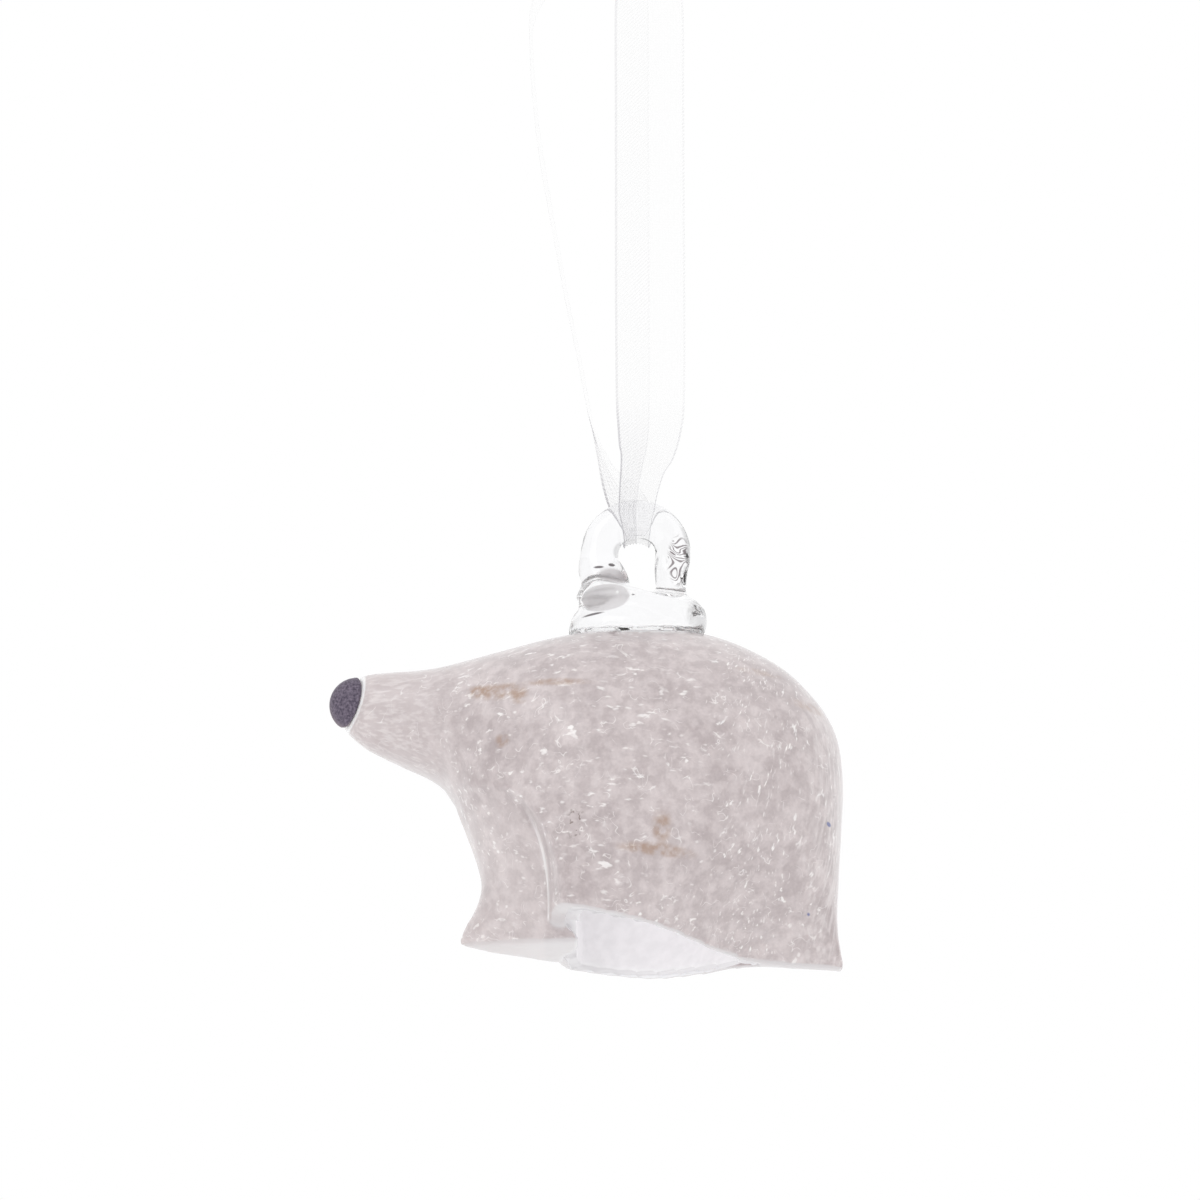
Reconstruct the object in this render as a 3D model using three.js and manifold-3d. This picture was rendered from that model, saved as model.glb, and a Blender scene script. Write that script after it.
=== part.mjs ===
// A blown glass polar bear ornament that hangs on a ribbon of sheer organza.
// Millimetres, +Z up, the nose towards -X. The origin is the middle of the ribbon's knot,
// which a hook or a twig holds. The bear is built standing on its soles and then hung,
// tipped a little, below the glass loop on its back.

import * as THREE from 'three';
import { mergeVertices } from 'three/addons/utils/BufferGeometryUtils.js';
import Module from 'manifold-3d';

const wasm = await Module();
wasm.setup();

// Gaps between neighbouring pieces.
const seatGap = 0.3; // between pieces of glass that are fused on the real bear
const ribbonClearance = 0.5; // between the ribbon and the glass loop that it carries

// How the bear hangs.
const ribbonDrop = 88; // from the knot's middle down to the underside of the loop's top
const hangTilt = THREE.MathUtils.degToRad(3.8); // nose up
const loopStand = 14; // from the bear's back up to the underside of the loop's top
const bodyShift = 0.4; // the body's zero along its length, behind the hanging axis

// Glass thicknesses.
const casingWall = 2.2;
const liningWall = 0.9;

// The bear's side view, standing on its soles: [along, height].
const backLine = profile([
  [-47, 37], [-42.5, 37.3], [-38, 38.1], [-32, 38.9], [-23.5, 41.5], [-12.6, 44.9], [-3, 46.5], [6.8, 46.1],
  [14, 43.7], [18.2, 41.3], [21.2, 38.6], [24.2, 35], [25.8, 31.2], [26.4, 27.6], [26.6, 24.7],
]);
const bellyLine = profile([
  [-47, 30.5], [-43.7, 29.7], [-40.7, 27.4], [-35, 25.3], [-29.3, 22.9], [-27, 20.2], [-24, 9.3], [-21, 3],
  [-18, 2.5], [-12.7, 2.2], [-5, 1.6], [5, 0.5], [9, 0.1], [12, 0], [15, 0], [20, 0],
  [26.6, 0],
]);

const soleDrop = loopStand + backLine(0); // from the underside of the loop's top down to the soles

// The bear's half widths: where a section is widest, at what height, and at its lower edge.
const halfWidth = profile([
  [-47, 3.2], [-42.5, 4], [-38, 5.4], [-32, 8], [-27.7, 10.4], [-23.5, 13], [-19.5, 15.6], [-15, 18.2],
  [-10, 20.3], [-4, 21], [2, 20.8], [8, 19.8], [13, 17.9], [17, 16.4], [20, 14.6], [22.5, 12.2],
  [24.5, 9.2], [25.8, 6], [26.4, 3.4], [26.6, 1.8],
]);
const widestAt = profile([
  [-47, 33.6], [-42.5, 33.2], [-32, 30.9], [-23.5, 27.8], [-15, 22.7], [-8, 17.5], [0, 15.5], [8, 17.5],
  [16, 20.6], [26.6, 20.6],
]);
const lowerHalfWidth = profile([
  [-47, 0.5], [-30, 0.5], [-27, 1], [-22, 12], [-17, 17.4], [-12.7, 19.4], [-8, 20.2], [-5, 20],
  [-1, 19], [2.5, 17], [5.5, 13.7], [8, 10.4], [11, 6.6], [14.3, 2.8], [16.5, 1.8], [26.6, 1.5],
]);
// How the sides close towards the lower edge: round under the snout, drawn in like a pinch at the rump.
const closing = profile([[-47, 1], [-29, 1], [-22, 2.6], [26.6, 2.6]]);
const crownPower = 2.15; // 2 is an ellipse, more is squarer
const slimmest = 0.5; // half the width of the narrowest lower edge

// Stations along the bear at which its sections are drawn.
const skinStations = [
  -47, -44.5, -42.5, -40, -37, -34, -31, -28.5, -26, -23.5, -20.5, -17.5, -15, -12.7, -10, -7, -4, -1, 2, 4.5,
  7, 9.5, 12, 14.5, 17, 19, 21, 22.7, 24.1, 25.2, 26, 26.45, 26.6,
];
const bellyEnd = 15; // where the open belly's edge meets the rear sole
const skinSteps = { crown: 8, side: 7 }; // points from the back to the widest place, and on to the lower edge
// The hollow's stations, each with the extra depth by which its ends are rounded.
const hollowStations = [
  [-27, 5], [-25.6, 2], [-23, 0.5], [-19.5, 0], [-16, 0], [-12.5, 0], [-9, 0], [-5, 0], [-1, 0], [2.5, 0],
  [5, 0], [7, 0], [9, 0], [10.5, 0], [12, 0], [14, 0], [16.5, 0], [19, 0], [21, 0], [22.4, 0.6], [23.2, 2.4],
];
const hollowMiddle = -2;
const hollowSteps = { crown: 6, side: 5 };

// The snout's tip bends a little to the bear's left, where the nose faces.
const snoutBendFrom = -28;
const snoutBend = 1.2;

// The rear foot spreads backwards at the sole.
const rearToe = 1.5;
const rearToeHeight = 9;
const rearToeFrom = 17;

// The arched press mark above the front leg, whose rear edge is the crease behind the leg.
const creaseAt = -12.7;
const archMiddle = -21.5;
const archTop = 19;
const throat = [-28.2, 21];
const rimFrom = 10; // half width at which the mark's rim begins to round over
const rimReach = 3.4; // how far the rim has drawn back at the bear's side
const pressSides = [10, 13.2, 15.8, 17.8, 19.2, 20, 20.4, 22]; // stations from the middle towards each side
const archSteps = 14;

// The front leg: its front edge in the side view, [height, along], its sole and its heel.
const legFront = profile([
  [0, -25.2], [2.8, -24.5], [5.8, -23], [8.8, -22.5], [11.5, -23.4], [14.4, -24.6],
  [17.1, -25.8], [19.9, -27.1], [22.1, -27.6],
]);
const legHeights = [0, 1.1, 2.2, 4, 6, 8.7, 11.3, 13.9, 16.5, 19, 22];
const heelAt = -9.3;
const heelHalfWidth = 7.6;
const heelSlope = 2.2; // how far the heel draws in above the sole
const toePower = 0.67; // below 1 the sole is blunt at its toe
const legRound = 6; // length over which the chest rounds from its front edge
const legSteps = 8;
const legSpacing = 1.5; // above 1 draws the leg's points towards its front edge
const leanPower = 1.2; // above 1 keeps the lower leg slim
const chestShare = 0.93; // the leg's width at the top of the press mark, of the body's width there

// The nose: a dab of dark glass on the end of the snout.
const noseAt = [-42.6, -1, 33.4];
const noseTurn = THREE.MathUtils.degToRad(26); // towards the bear's left
const noseLift = THREE.MathUtils.degToRad(7);
const noseRadius = 3.7;
const noseHeight = 2.6;

// The hanger pad: a lower disc and a narrower wrap on it, cut off by a sloping top.
const padRadius = 9.6;
const wrapRadius = 8.6;
const padSink = 4.2; // how far the lump would run on below the top of the back
const discHeight = 3.4; // from the back up to the groove between disc and wrap
const padBulge = 1.2; // how far the rims of disc and wrap round in
const grooveDepth = 0.7;
const wrapHeight = 3.8; // from the groove up to the wrap's rounded edge
const wrapRise = 2.2; // from there up to the wrap's middle, before the sloping top cuts it
const padSides = 32;
const rimSteps = 15;
const padHeight = 7.1; // from the back up to the sloping top, on the front side of the hanging axis
const padTopAt = -4;
const padSlope = THREE.MathUtils.degToRad(16); // down towards the rump
const padLean = 0.22; // the lump sits lower on the bear's left, by this share of the distance across

// The glass loop: a rod bent round, thick at its front root and thin at its rear root.
const loopTube = 2.8; // half the rod's thickness at the top
const loopFrontTube = 2.72;
const loopRearTube = 2.5;
const loopHole = 2.45; // half the width of the eye
const padBottom = -loopStand - padSink;
const padWaist = discHeight - loopStand;
const padTop = padHeight - loopStand;
const frontRoot = [-4.4, padTop + 0.3, 3.5]; // along, height, half thickness
const rearRoot = [5.4, padTop - 0.7, 1.6];
const rootDepth = 4; // how far the rod's ends run on before the pad cuts them off
const rodSides = 14;

// The ribbon.
const ribbonWidth = 10; // as it was cut
const ribbonThickness = 0.3;
const pleats = 8;
const pleatLimit = 1.1; // deepest fold where the ribbon is gathered
const gatheredWidth = 3.4; // in the loop's eye
const armWidth = 5; // beside the loop's rod
const armSpread = 1.4; // how much wider it is where the strands begin
const strandStart = 9; // height above the loop's underside where the free strands begin
const frontArm = [0.9, -4.1]; // where the strands begin: along, across
const backArm = [-2.7, 4.1];

// The knot: a core with a wrap round it, and the two cut ends that stand up from it.
const knotRadius = 3;
const knotCore = 0.86; // these three are shares of the knot's radius
const knotWrap = 0.6;
const knotWrapTube = 0.38;
const wrapPitch = THREE.MathUtils.degToRad(62);
const wrapRoll = THREE.MathUtils.degToRad(18);
const knotReach = knotRadius + seatGap; // from the knot's middle to the strands' ends
const tailLength = 15;
const tailSpread = THREE.MathUtils.degToRad(28);
const tailApart = 0.9; // from the middle to each tail's root
const tailRootWidth = 2.4;
const tailEndWidth = 9;

// The free strands' middle lines above the loop's underside: along, across, height, width, turn in degrees.
// A turn of 0 faces the viewer and 90 shows the ribbon's edge.
const frontRoute = [
  [1.5, -4.1, 11.5, 8, 0], [1.9, -4, 15.3, 9.2, 0], [2, -3.8, 20, 9.8, 0], [2, -3.3, 34, 10, 0],
  [2, -2.7, 50, 10, 0], [2, -2.1, 64, 10, 0], [1.9, -1.6, 75, 9.6, 0], [1.4, -1, 81, 7, 0],
  [0.7, -0.4, ribbonDrop - knotReach, 4, 0],
];
const backRoute = [
  [-3.6, 4.2, 11.5, 8, 30], [-5, 4.2, 15, 9.4, 60], [-6.6, 4, 20, 10, 82], [-8.1, 3.7, 28, 10, 84],
  [-9.7, 3.4, 36, 10, 84], [-11.3, 3, 45, 10, 84], [-13.2, 2.5, 56, 10, 84], [-14.5, 2, 66, 10, 86],
  [-14.9, 1.5, 74, 10, 88], [-13.9, 1.1, 80, 9.4, 90], [-11, 0.7, 84.5, 8, 90], [-7.2, 0.4, 87, 5.6, 90],
  [-knotReach, 0.2, ribbonDrop, 3.6, 90],
];

// A smooth curve through points, as a function of their first number.
function profile(points) {
  const places = points.map((point) => point[0]);
  const values = points.map((point) => point[1]);
  const curve = new THREE.CubicInterpolant(places, values, 1);
  return (place) => curve.evaluate(place)[0];
}

function smooth(from, to, value) {
  return THREE.MathUtils.smoothstep(value, from, to);
}

// Skins a row of rings, each a list of points in the same order, and closes both ends. The points
// of a ring run round from its middle line, so an end is closed by zipping its two sides together.
function loft(rings) {
  const count = rings[0].length;
  const positions = rings.flat().flatMap((point) => point.toArray());
  const triangles = [];
  for (let i = 0; i + 1 < rings.length; i += 1) {
    for (let j = 0; j < count; j += 1) {
      const a = i * count + j;
      const b = i * count + ((j + 1) % count);
      triangles.push(a, a + count, b, b, a + count, b + count);
    }
  }
  const last = (rings.length - 1) * count;
  for (let low = 0, high = count - 1; high - low > 1; low += 1, high -= 1) {
    triangles.push(low, low + 1, high, last + low, last + high, last + low + 1);
    if (high - low > 2) {
      triangles.push(low + 1, high - 1, high, last + low + 1, last + high, last + high - 1);
    }
  }
  const geometry = new THREE.BufferGeometry();
  geometry.setAttribute('position', new THREE.Float32BufferAttribute(positions, 3));
  geometry.setIndex(signedVolume(positions, triangles) < 0 ? triangles.reverse() : triangles);
  return geometry;
}

function signedVolume(positions, triangles) {
  const corner = (index) => new THREE.Vector3().fromArray(positions, 3 * index);
  let sum = 0;
  for (let i = 0; i < triangles.length; i += 3) {
    const [a, b, c] = triangles.slice(i, i + 3).map(corner);
    sum += a.dot(b.cross(c));
  }
  return sum / 6;
}

function toSolid(geometry) {
  const bare = geometry.clone();
  bare.deleteAttribute('normal');
  bare.deleteAttribute('uv');
  const merged = mergeVertices(bare);
  return new wasm.Manifold(new wasm.Mesh({
    numProp: 3,
    vertProperties: new Float32Array(merged.attributes.position.array),
    triVerts: new Uint32Array(merged.index.array),
  }));
}

function toGeometry(solid) {
  const mesh = solid.getMesh();
  const geometry = new THREE.BufferGeometry();
  geometry.setAttribute('position', new THREE.BufferAttribute(mesh.vertProperties, 3));
  geometry.setIndex(new THREE.BufferAttribute(mesh.triVerts, 1));
  geometry.computeVertexNormals();
  return geometry;
}

function glassPiece(name, geometry, look) {
  const mesh = new THREE.Mesh(geometry, new THREE.MeshStandardMaterial(look));
  mesh.name = name;
  return mesh;
}

// One section across the bear, drawn in from its skin by wall, from the back round both sides.
// Where the lower edge is too thin for a hollow, the hollow closes above it.
function bearRing(along, wall, steps, below) {
  const middle = widestAt(along);
  const crown = backLine(along) - wall - middle;
  const wide = Math.max(halfWidth(along) - wall, slimmest);
  const power = closing(along);
  let floor = bellyLine(along);
  let foot = lowerHalfWidth(along) - wall;
  let end = below;
  if (foot < slimmest) {
    const spare = (wall + slimmest - lowerHalfWidth(along)) / (halfWidth(along) - lowerHalfWidth(along));
    const reach = Math.sqrt(1 - THREE.MathUtils.clamp(spare, 0, 1) ** (2 / power));
    floor = middle - (middle - floor) * reach;
    foot = Math.min(slimmest, wide);
    end = Math.min(below, seatGap);
  }
  const side = [];
  for (let k = 1; k <= steps.crown; k += 1) {
    const angle = (Math.PI / 2) * (1 - k / steps.crown);
    const share = 2 / crownPower;
    side.push([wide * Math.cos(angle) ** share, middle + crown * Math.sin(angle) ** share]);
  }
  for (let k = 1; k <= steps.side; k += 1) {
    const angle = (Math.PI / 2) * (k / steps.side);
    side.push([foot + (wide - foot) * Math.cos(angle) ** power, middle - (middle - floor) * Math.sin(angle)]);
  }
  if (below > 0) {
    side.push([foot, floor - end]);
  }
  const bend = -snoutBend * Math.max(0, (snoutBendFrom - along) / (snoutBendFrom - noseAt[0])) ** 2;
  const place = ([half, height]) => {
    const low = Math.max(0, 1 - height / rearToeHeight) ** 2;
    const toe = rearToe * low * smooth(rearToeFrom, skinStations.at(-1), along);
    return new THREE.Vector3(along + toe, half + bend, height);
  };
  const right = side.map(place);
  const left = side.map(([half, height]) => place([-half, height])).reverse();
  return [place([0, middle + crown]), ...right, ...left];
}

function bearSkin(outset) {
  return loft(skinStations.map((along) => bearRing(along, -outset, skinSteps, 0)));
}

// The press mark's outline in the side view at a place across the bear, grown by margin towards the
// body. Near the bear's sides it draws back, so the body rounds over into the mark.
function pressOutline(aside, margin) {
  const share = (Math.abs(aside) - rimFrom) / (halfWidth(creaseAt + rimReach) - rimFrom);
  const draw = rimReach * (1 - Math.sqrt(1 - THREE.MathUtils.clamp(share, 0, 1) ** 2));
  const spring = bellyLine(creaseAt);
  const reach = creaseAt + margin - archMiddle;
  const rise = archTop + margin - spring;
  const front = 2 * throat[0] - archMiddle;
  const outline = [[front, -rearToeHeight], [creaseAt + margin + draw, -rearToeHeight]];
  for (let k = 0; k <= archSteps; k += 1) {
    const angle = (Math.PI / 2) * (k / archSteps);
    const rear = reach + draw * Math.cos(angle);
    outline.push([archMiddle + rear * Math.cos(angle), spring + rise * Math.sin(angle)]);
  }
  outline.push([throat[0], throat[1] + margin], [front, throat[1]]);
  return outline.map(([along, height]) => new THREE.Vector3(along, aside, height));
}

function pressMark(margin) {
  const rings = pressSides.map((aside) => pressOutline(aside, margin));
  const mirrored = pressSides.map((aside) => pressOutline(-aside, margin)).reverse();
  return toSolid(loft([...mirrored, ...rings]));
}

// The front leg, from its sole up into the body. Its sides start from a narrow sole and lean out
// until they meet the body's sides at the top of the press mark.
function legSolid() {
  const rings = legHeights.map((height) => {
    const front = legFront(height);
    const rear = heelAt - Math.min(height, heelSlope);
    const spread = Math.min(1, height / archTop) ** leanPower;
    const side = [];
    for (let k = 1; k <= legSteps; k += 1) {
      const share = (k / legSteps) ** legSpacing;
      const along = front + (rear - front) * share;
      const rounding = Math.min(1, (along - front) / legRound);
      const chest = chestShare * halfWidth(along) * Math.sqrt(rounding * (2 - rounding));
      side.push([along, (1 - spread) * heelHalfWidth * share ** toePower + spread * chest]);
    }
    const right = side.map(([along, half]) => new THREE.Vector3(along, half, height));
    const left = side.map(([along, half]) => new THREE.Vector3(along, -half, height)).reverse();
    return [new THREE.Vector3(front, 0, height), ...right, ...left];
  });
  return toSolid(loft(rings));
}

// The space inside the bear at a depth below its skin, running out through the open belly.
function hollow(wall) {
  const halfLength = hollowMiddle - hollowStations[0][0];
  const shrink = 1 - (wall - casingWall) / halfLength;
  const rings = hollowStations.map(([along, extra]) => {
    const place = hollowMiddle + (along - hollowMiddle) * shrink;
    return bearRing(place, wall + extra, hollowSteps, wall);
  });
  return toSolid(loft(rings)).subtract(pressMark(wall));
}

// Everything below the plane of the ground belly edge.
function belowBelly() {
  const front = new THREE.Vector2(creaseAt, bellyLine(creaseAt));
  const rear = new THREE.Vector2(bellyEnd, bellyLine(bellyEnd));
  const size = 4 * halfWidth(0);
  const block = new THREE.BoxGeometry(size, size, size / 2);
  block.translate(0, 0, -size / 4);
  block.rotateY(Math.atan2(front.y - rear.y, rear.x - front.x));
  block.translate((front.x + rear.x) / 2, 0, (front.y + rear.y) / 2);
  return toSolid(block);
}

const noseDirection = new THREE.Vector3(
  -Math.cos(noseTurn) * Math.cos(noseLift), -Math.sin(noseTurn), Math.cos(noseTurn) * Math.sin(noseLift),
).normalize();
const noseSeat = new THREE.Matrix4().compose(
  new THREE.Vector3(...noseAt),
  new THREE.Quaternion().setFromUnitVectors(new THREE.Vector3(0, 1, 0), noseDirection),
  new THREE.Vector3(1, 1, 1),
);

function casing() {
  const trimSize = 4 * noseRadius;
  const trim = new THREE.BoxGeometry(trimSize, trimSize, trimSize);
  trim.translate(0, trimSize / 2, 0);
  trim.applyMatrix4(noseSeat);
  const outside = toSolid(bearSkin(0)).subtract(pressMark(0)).add(legSolid()).subtract(toSolid(trim));
  return glassPiece('mottled_casing', toGeometry(outside.subtract(hollow(casingWall))), {
    color: 0xc9c0bf, roughness: 0.12, metalness: 0,
  });
}

function lining() {
  const outerDepth = casingWall + seatGap;
  const shell = hollow(outerDepth).subtract(hollow(outerDepth + liningWall)).subtract(belowBelly());
  return glassPiece('opal_lining', toGeometry(shell), { color: 0xececee, roughness: 0.35, metalness: 0 });
}

function nose() {
  const ball = (noseRadius ** 2 + noseHeight ** 2) / (2 * noseHeight);
  const edge = Math.asin(Math.min(1, noseRadius / ball));
  const outline = [new THREE.Vector2(0, seatGap), new THREE.Vector2(noseRadius, seatGap)];
  const steps = 6;
  for (let k = 1; k <= steps; k += 1) {
    const angle = edge * (1 - k / steps);
    const height = noseHeight - ball + ball * Math.cos(angle);
    outline.push(new THREE.Vector2(ball * Math.sin(angle), seatGap + height));
  }
  const dab = new THREE.LatheGeometry(outline, 24);
  dab.applyMatrix4(noseSeat);
  return glassPiece('nose_dab', dab, { color: 0x2c2430, roughness: 0.15, metalness: 0 });
}

const lean = new THREE.Matrix4().set(1, 0, 0, 0, 0, 1, 0, 0, 0, padLean, 1, 0, 0, 0, 0, 1);
const stance = new THREE.Matrix4().makeRotationY(hangTilt).setPosition(bodyShift, 0, -soleDrop);

// A half space above the pad's sloping top, lifted by gap.
function abovePad(gap) {
  const size = 6 * padRadius;
  const block = new THREE.BoxGeometry(size, size, size);
  block.translate(0, 0, size / 2 + gap);
  block.rotateY(padSlope);
  block.translate(padTopAt, 0, padTop);
  block.applyMatrix4(lean);
  return toSolid(block);
}

// The pad, grown by gap: a disc with a bulged rim, a groove, and the rounded wrap.
function padLump(gap) {
  const disc = padRadius + gap;
  const wrap = wrapRadius + gap;
  const wrapTop = padWaist + wrapHeight + gap;
  const rim = new THREE.SplineCurve([
    new THREE.Vector2(disc - padBulge, padBottom),
    new THREE.Vector2(disc, padWaist - 3 * padBulge),
    new THREE.Vector2(disc - grooveDepth, padWaist - grooveDepth),
    new THREE.Vector2(wrap - grooveDepth, padWaist),
    new THREE.Vector2(wrap, (padWaist + wrapTop) / 2),
    new THREE.Vector2(wrap - padBulge, wrapTop),
  ]);
  const under = new THREE.Vector2(0, padBottom);
  const summit = new THREE.Vector2(0, wrapTop + wrapRise);
  const outline = [under, ...rim.getPoints(rimSteps), summit];
  const lump = new THREE.LatheGeometry(outline, padSides);
  lump.rotateX(Math.PI / 2);
  lump.applyMatrix4(lean);
  return toSolid(lump).subtract(abovePad(gap));
}

function hangerPad() {
  const body = bearSkin(seatGap);
  body.applyMatrix4(stance);
  const pad = padLump(0).subtract(toSolid(body));
  return glassPiece('hanger_pad', toGeometry(pad), { color: 0xf4f6f7, roughness: 0.03, metalness: 0 });
}

// The rod's middle line, with its half thickness, from the front root over the top to the rear root.
function rodStations() {
  const bend = loopHole + loopTube;
  const [frontAlong, frontHeight, frontTube] = frontRoot;
  const [rearAlong, rearHeight, rearTube] = rearRoot;
  const stations = [[frontAlong, frontHeight - rootDepth, frontTube], frontRoot];
  stations.push([-bend, (frontHeight - loopHole) / 2, (frontTube + loopFrontTube) / 2]);
  const steps = 10;
  for (let k = 0; k <= steps; k += 1) {
    const angle = Math.PI * (1 - k / steps);
    const side = Math.cos(angle);
    const sideTube = side < 0 ? loopFrontTube : loopRearTube;
    const tube = loopTube + (sideTube - loopTube) * side ** 2;
    stations.push([bend * side, -loopHole + bend * Math.sin(angle), tube]);
  }
  stations.push([bend, (rearHeight - loopHole) / 2, (rearTube + loopRearTube) / 2]);
  stations.push(rearRoot, [rearAlong, rearHeight - rootDepth, rearTube]);
  return stations;
}

function hangingLoop() {
  const stations = rodStations();
  const places = stations.map(([along, height]) => new THREE.Vector3(along, 0, height));
  const line = new THREE.CatmullRomCurve3(places);
  const thickness = profile(stations.map((station, index) => [index, station[2]]));
  const steps = 2 * (stations.length - 1);
  const rings = [];
  for (let k = 0; k <= steps; k += 1) {
    const middle = line.getPoint(k / steps);
    const forward = line.getTangent(k / steps);
    const up = new THREE.Vector3(0, 1, 0);
    const out = new THREE.Vector3().crossVectors(forward, up);
    const tube = thickness((k * (stations.length - 1)) / steps);
    const ring = [];
    for (let j = 0; j < rodSides; j += 1) {
      const angle = (2 * Math.PI * j) / rodSides;
      const point = middle.clone().addScaledVector(out, tube * Math.cos(angle));
      ring.push(point.addScaledVector(up, tube * Math.sin(angle)));
    }
    rings.push(ring);
  }
  const rod = toSolid(loft(rings));
  return glassPiece('hanging_loop', toGeometry(rod.subtract(padLump(seatGap))), {
    color: 0xf4f6f7, roughness: 0.03, metalness: 0,
  });
}

// One section of the ribbon: folded into pleats across its width where it is gathered.
function ribbonRing(middle, across, facing, width, arch) {
  const flat = ribbonWidth / pleats;
  const step = width / pleats;
  const fold = Math.min(pleatLimit, Math.sqrt(Math.max(0, flat ** 2 - step ** 2)));
  const upper = [];
  const lower = [];
  for (let k = 0; k <= pleats; k += 1) {
    const aside = (k - pleats / 2) * step;
    const lift = (k % 2 ? fold : -fold) / 2 + arch(aside);
    const point = middle.clone().addScaledVector(across, aside).addScaledVector(facing, lift);
    upper.push(point.clone().addScaledVector(facing, ribbonThickness / 2));
    lower.unshift(point.clone().addScaledVector(facing, -ribbonThickness / 2));
  }
  return [...upper, ...lower];
}

const noArch = () => 0;

function strand(name, route, arm) {
  const start = [...arm, strandStart + seatGap, armWidth + armSpread, route[0][4] / 2];
  const stations = [start, ...route];
  const line = new THREE.CatmullRomCurve3(stations.map(([x, y, z]) => new THREE.Vector3(x, y, z)));
  const width = profile(stations.map((station, index) => [index, station[3]]));
  const turn = profile(stations.map((station, index) => [index, station[4]]));
  const steps = 2 * (stations.length - 1);
  const rings = [];
  for (let k = 0; k <= steps; k += 1) {
    const place = k / 2;
    const forward = k === 0 ? new THREE.Vector3(0, 0, 1) : line.getTangent(k / steps);
    const angle = THREE.MathUtils.degToRad(turn(place));
    const across = new THREE.Vector3(Math.cos(angle), Math.sin(angle), 0);
    across.addScaledVector(forward, -across.dot(forward)).normalize();
    const facing = new THREE.Vector3().crossVectors(across, forward);
    rings.push(ribbonRing(line.getPoint(k / steps), across, facing, width(place), noArch));
  }
  return glassPiece(name, loft(rings), { color: 0xf6f6f8, roughness: 0.7, metalness: 0 });
}

// The gathered ribbon under the loop's rod, with an arm up each side of it to where the strands begin.
function bight() {
  const bendRadius = loopTube + ribbonClearance + pleatLimit / 2 + ribbonThickness / 2;
  const across = new THREE.Vector3(1, 0, 0);
  const rings = [];
  const armSteps = 4;
  const bendSteps = 12;
  const arm = ([along, aside], share) => {
    const middle = new THREE.Vector3(0, Math.sign(aside) * bendRadius, loopTube);
    middle.lerp(new THREE.Vector3(along, aside, strandStart), share);
    const facing = new THREE.Vector3(0, Math.sign(aside), 0);
    return ribbonRing(middle, across, facing, armWidth + armSpread * share, noArch);
  };
  for (let k = armSteps; k > 0; k -= 1) {
    rings.push(arm(frontArm, k / armSteps));
  }
  for (let k = 0; k <= bendSteps; k += 1) {
    const angle = Math.PI * (k / bendSteps);
    const facing = new THREE.Vector3(0, -Math.cos(angle), -Math.sin(angle));
    const middle = new THREE.Vector3(0, 0, loopTube).addScaledVector(facing, bendRadius);
    const drop = Math.sin(angle);
    const arch = (aside) => {
      const reach = Math.min(loopHole, Math.abs(aside));
      return drop * (loopHole - Math.sqrt(loopHole ** 2 - reach ** 2));
    };
    rings.push(ribbonRing(middle, across, facing, armWidth + (gatheredWidth - armWidth) * drop, arch));
  }
  for (let k = 1; k <= armSteps; k += 1) {
    rings.push(arm(backArm, k / armSteps));
  }
  return glassPiece('ribbon_bight', loft(rings), { color: 0xf6f6f8, roughness: 0.7, metalness: 0 });
}

// The ribbon's two ends tied together: a core with a wrap round it, and two tails.
function knot() {
  const core = new THREE.SphereGeometry(knotCore * knotRadius, 14, 10);
  const wrap = new THREE.TorusGeometry(knotWrap * knotRadius, knotWrapTube * knotRadius, 8, 18);
  wrap.rotateX(wrapPitch);
  wrap.rotateY(wrapRoll);
  let solid = toSolid(core).add(toSolid(wrap));
  for (const side of [-1, 1]) {
    const rings = [];
    const steps = 6;
    for (let k = 0; k <= steps; k += 1) {
      const share = k / steps;
      const angle = side * tailSpread * share;
      const reach = tailLength * share;
      const middle = new THREE.Vector3(side * tailApart / 2, side * tailApart, knotRadius / 2);
      middle.add(new THREE.Vector3(reach * Math.sin(angle), 0, reach * Math.cos(angle)));
      const width = THREE.MathUtils.lerp(tailRootWidth, tailEndWidth, smooth(0, 0.7, share));
      const across = new THREE.Vector3(Math.cos(angle), 0, -Math.sin(angle));
      rings.push(ribbonRing(middle, across, new THREE.Vector3(0, 1, 0), width, noArch));
    }
    solid = solid.add(toSolid(loft(rings)));
  }
  return glassPiece('ribbon_knot', toGeometry(solid), { color: 0xf6f6f8, roughness: 0.7, metalness: 0 });
}

const ornament = new THREE.Group();
ornament.add(knot());

const belowKnot = new THREE.Group();
belowKnot.position.z = -ribbonDrop;
belowKnot.add(
  strand('ribbon_front_strand', frontRoute, frontArm),
  strand('ribbon_back_strand', backRoute, backArm),
  bight(),
  hangingLoop(),
  hangerPad(),
);
ornament.add(belowKnot);

const bear = new THREE.Group();
bear.applyMatrix4(stance);
bear.add(casing(), lining(), nose());
belowKnot.add(bear);

export default ornament;
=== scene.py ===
# %% [markdown]
# # A glass polar bear on an organza ribbon
# The ornament is a blown bubble of mottled glass over a white layer. It has a dab of dark glass for a nose,
# a clear lump and loop on its back, and a sheer ribbon through the loop. The solids of the frame give every
# piece its place. Here each piece gets the surface and the look that the real one has.

import math

import bmesh
import bpy
import numpy as np
from mathutils import Matrix, Vector


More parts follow.
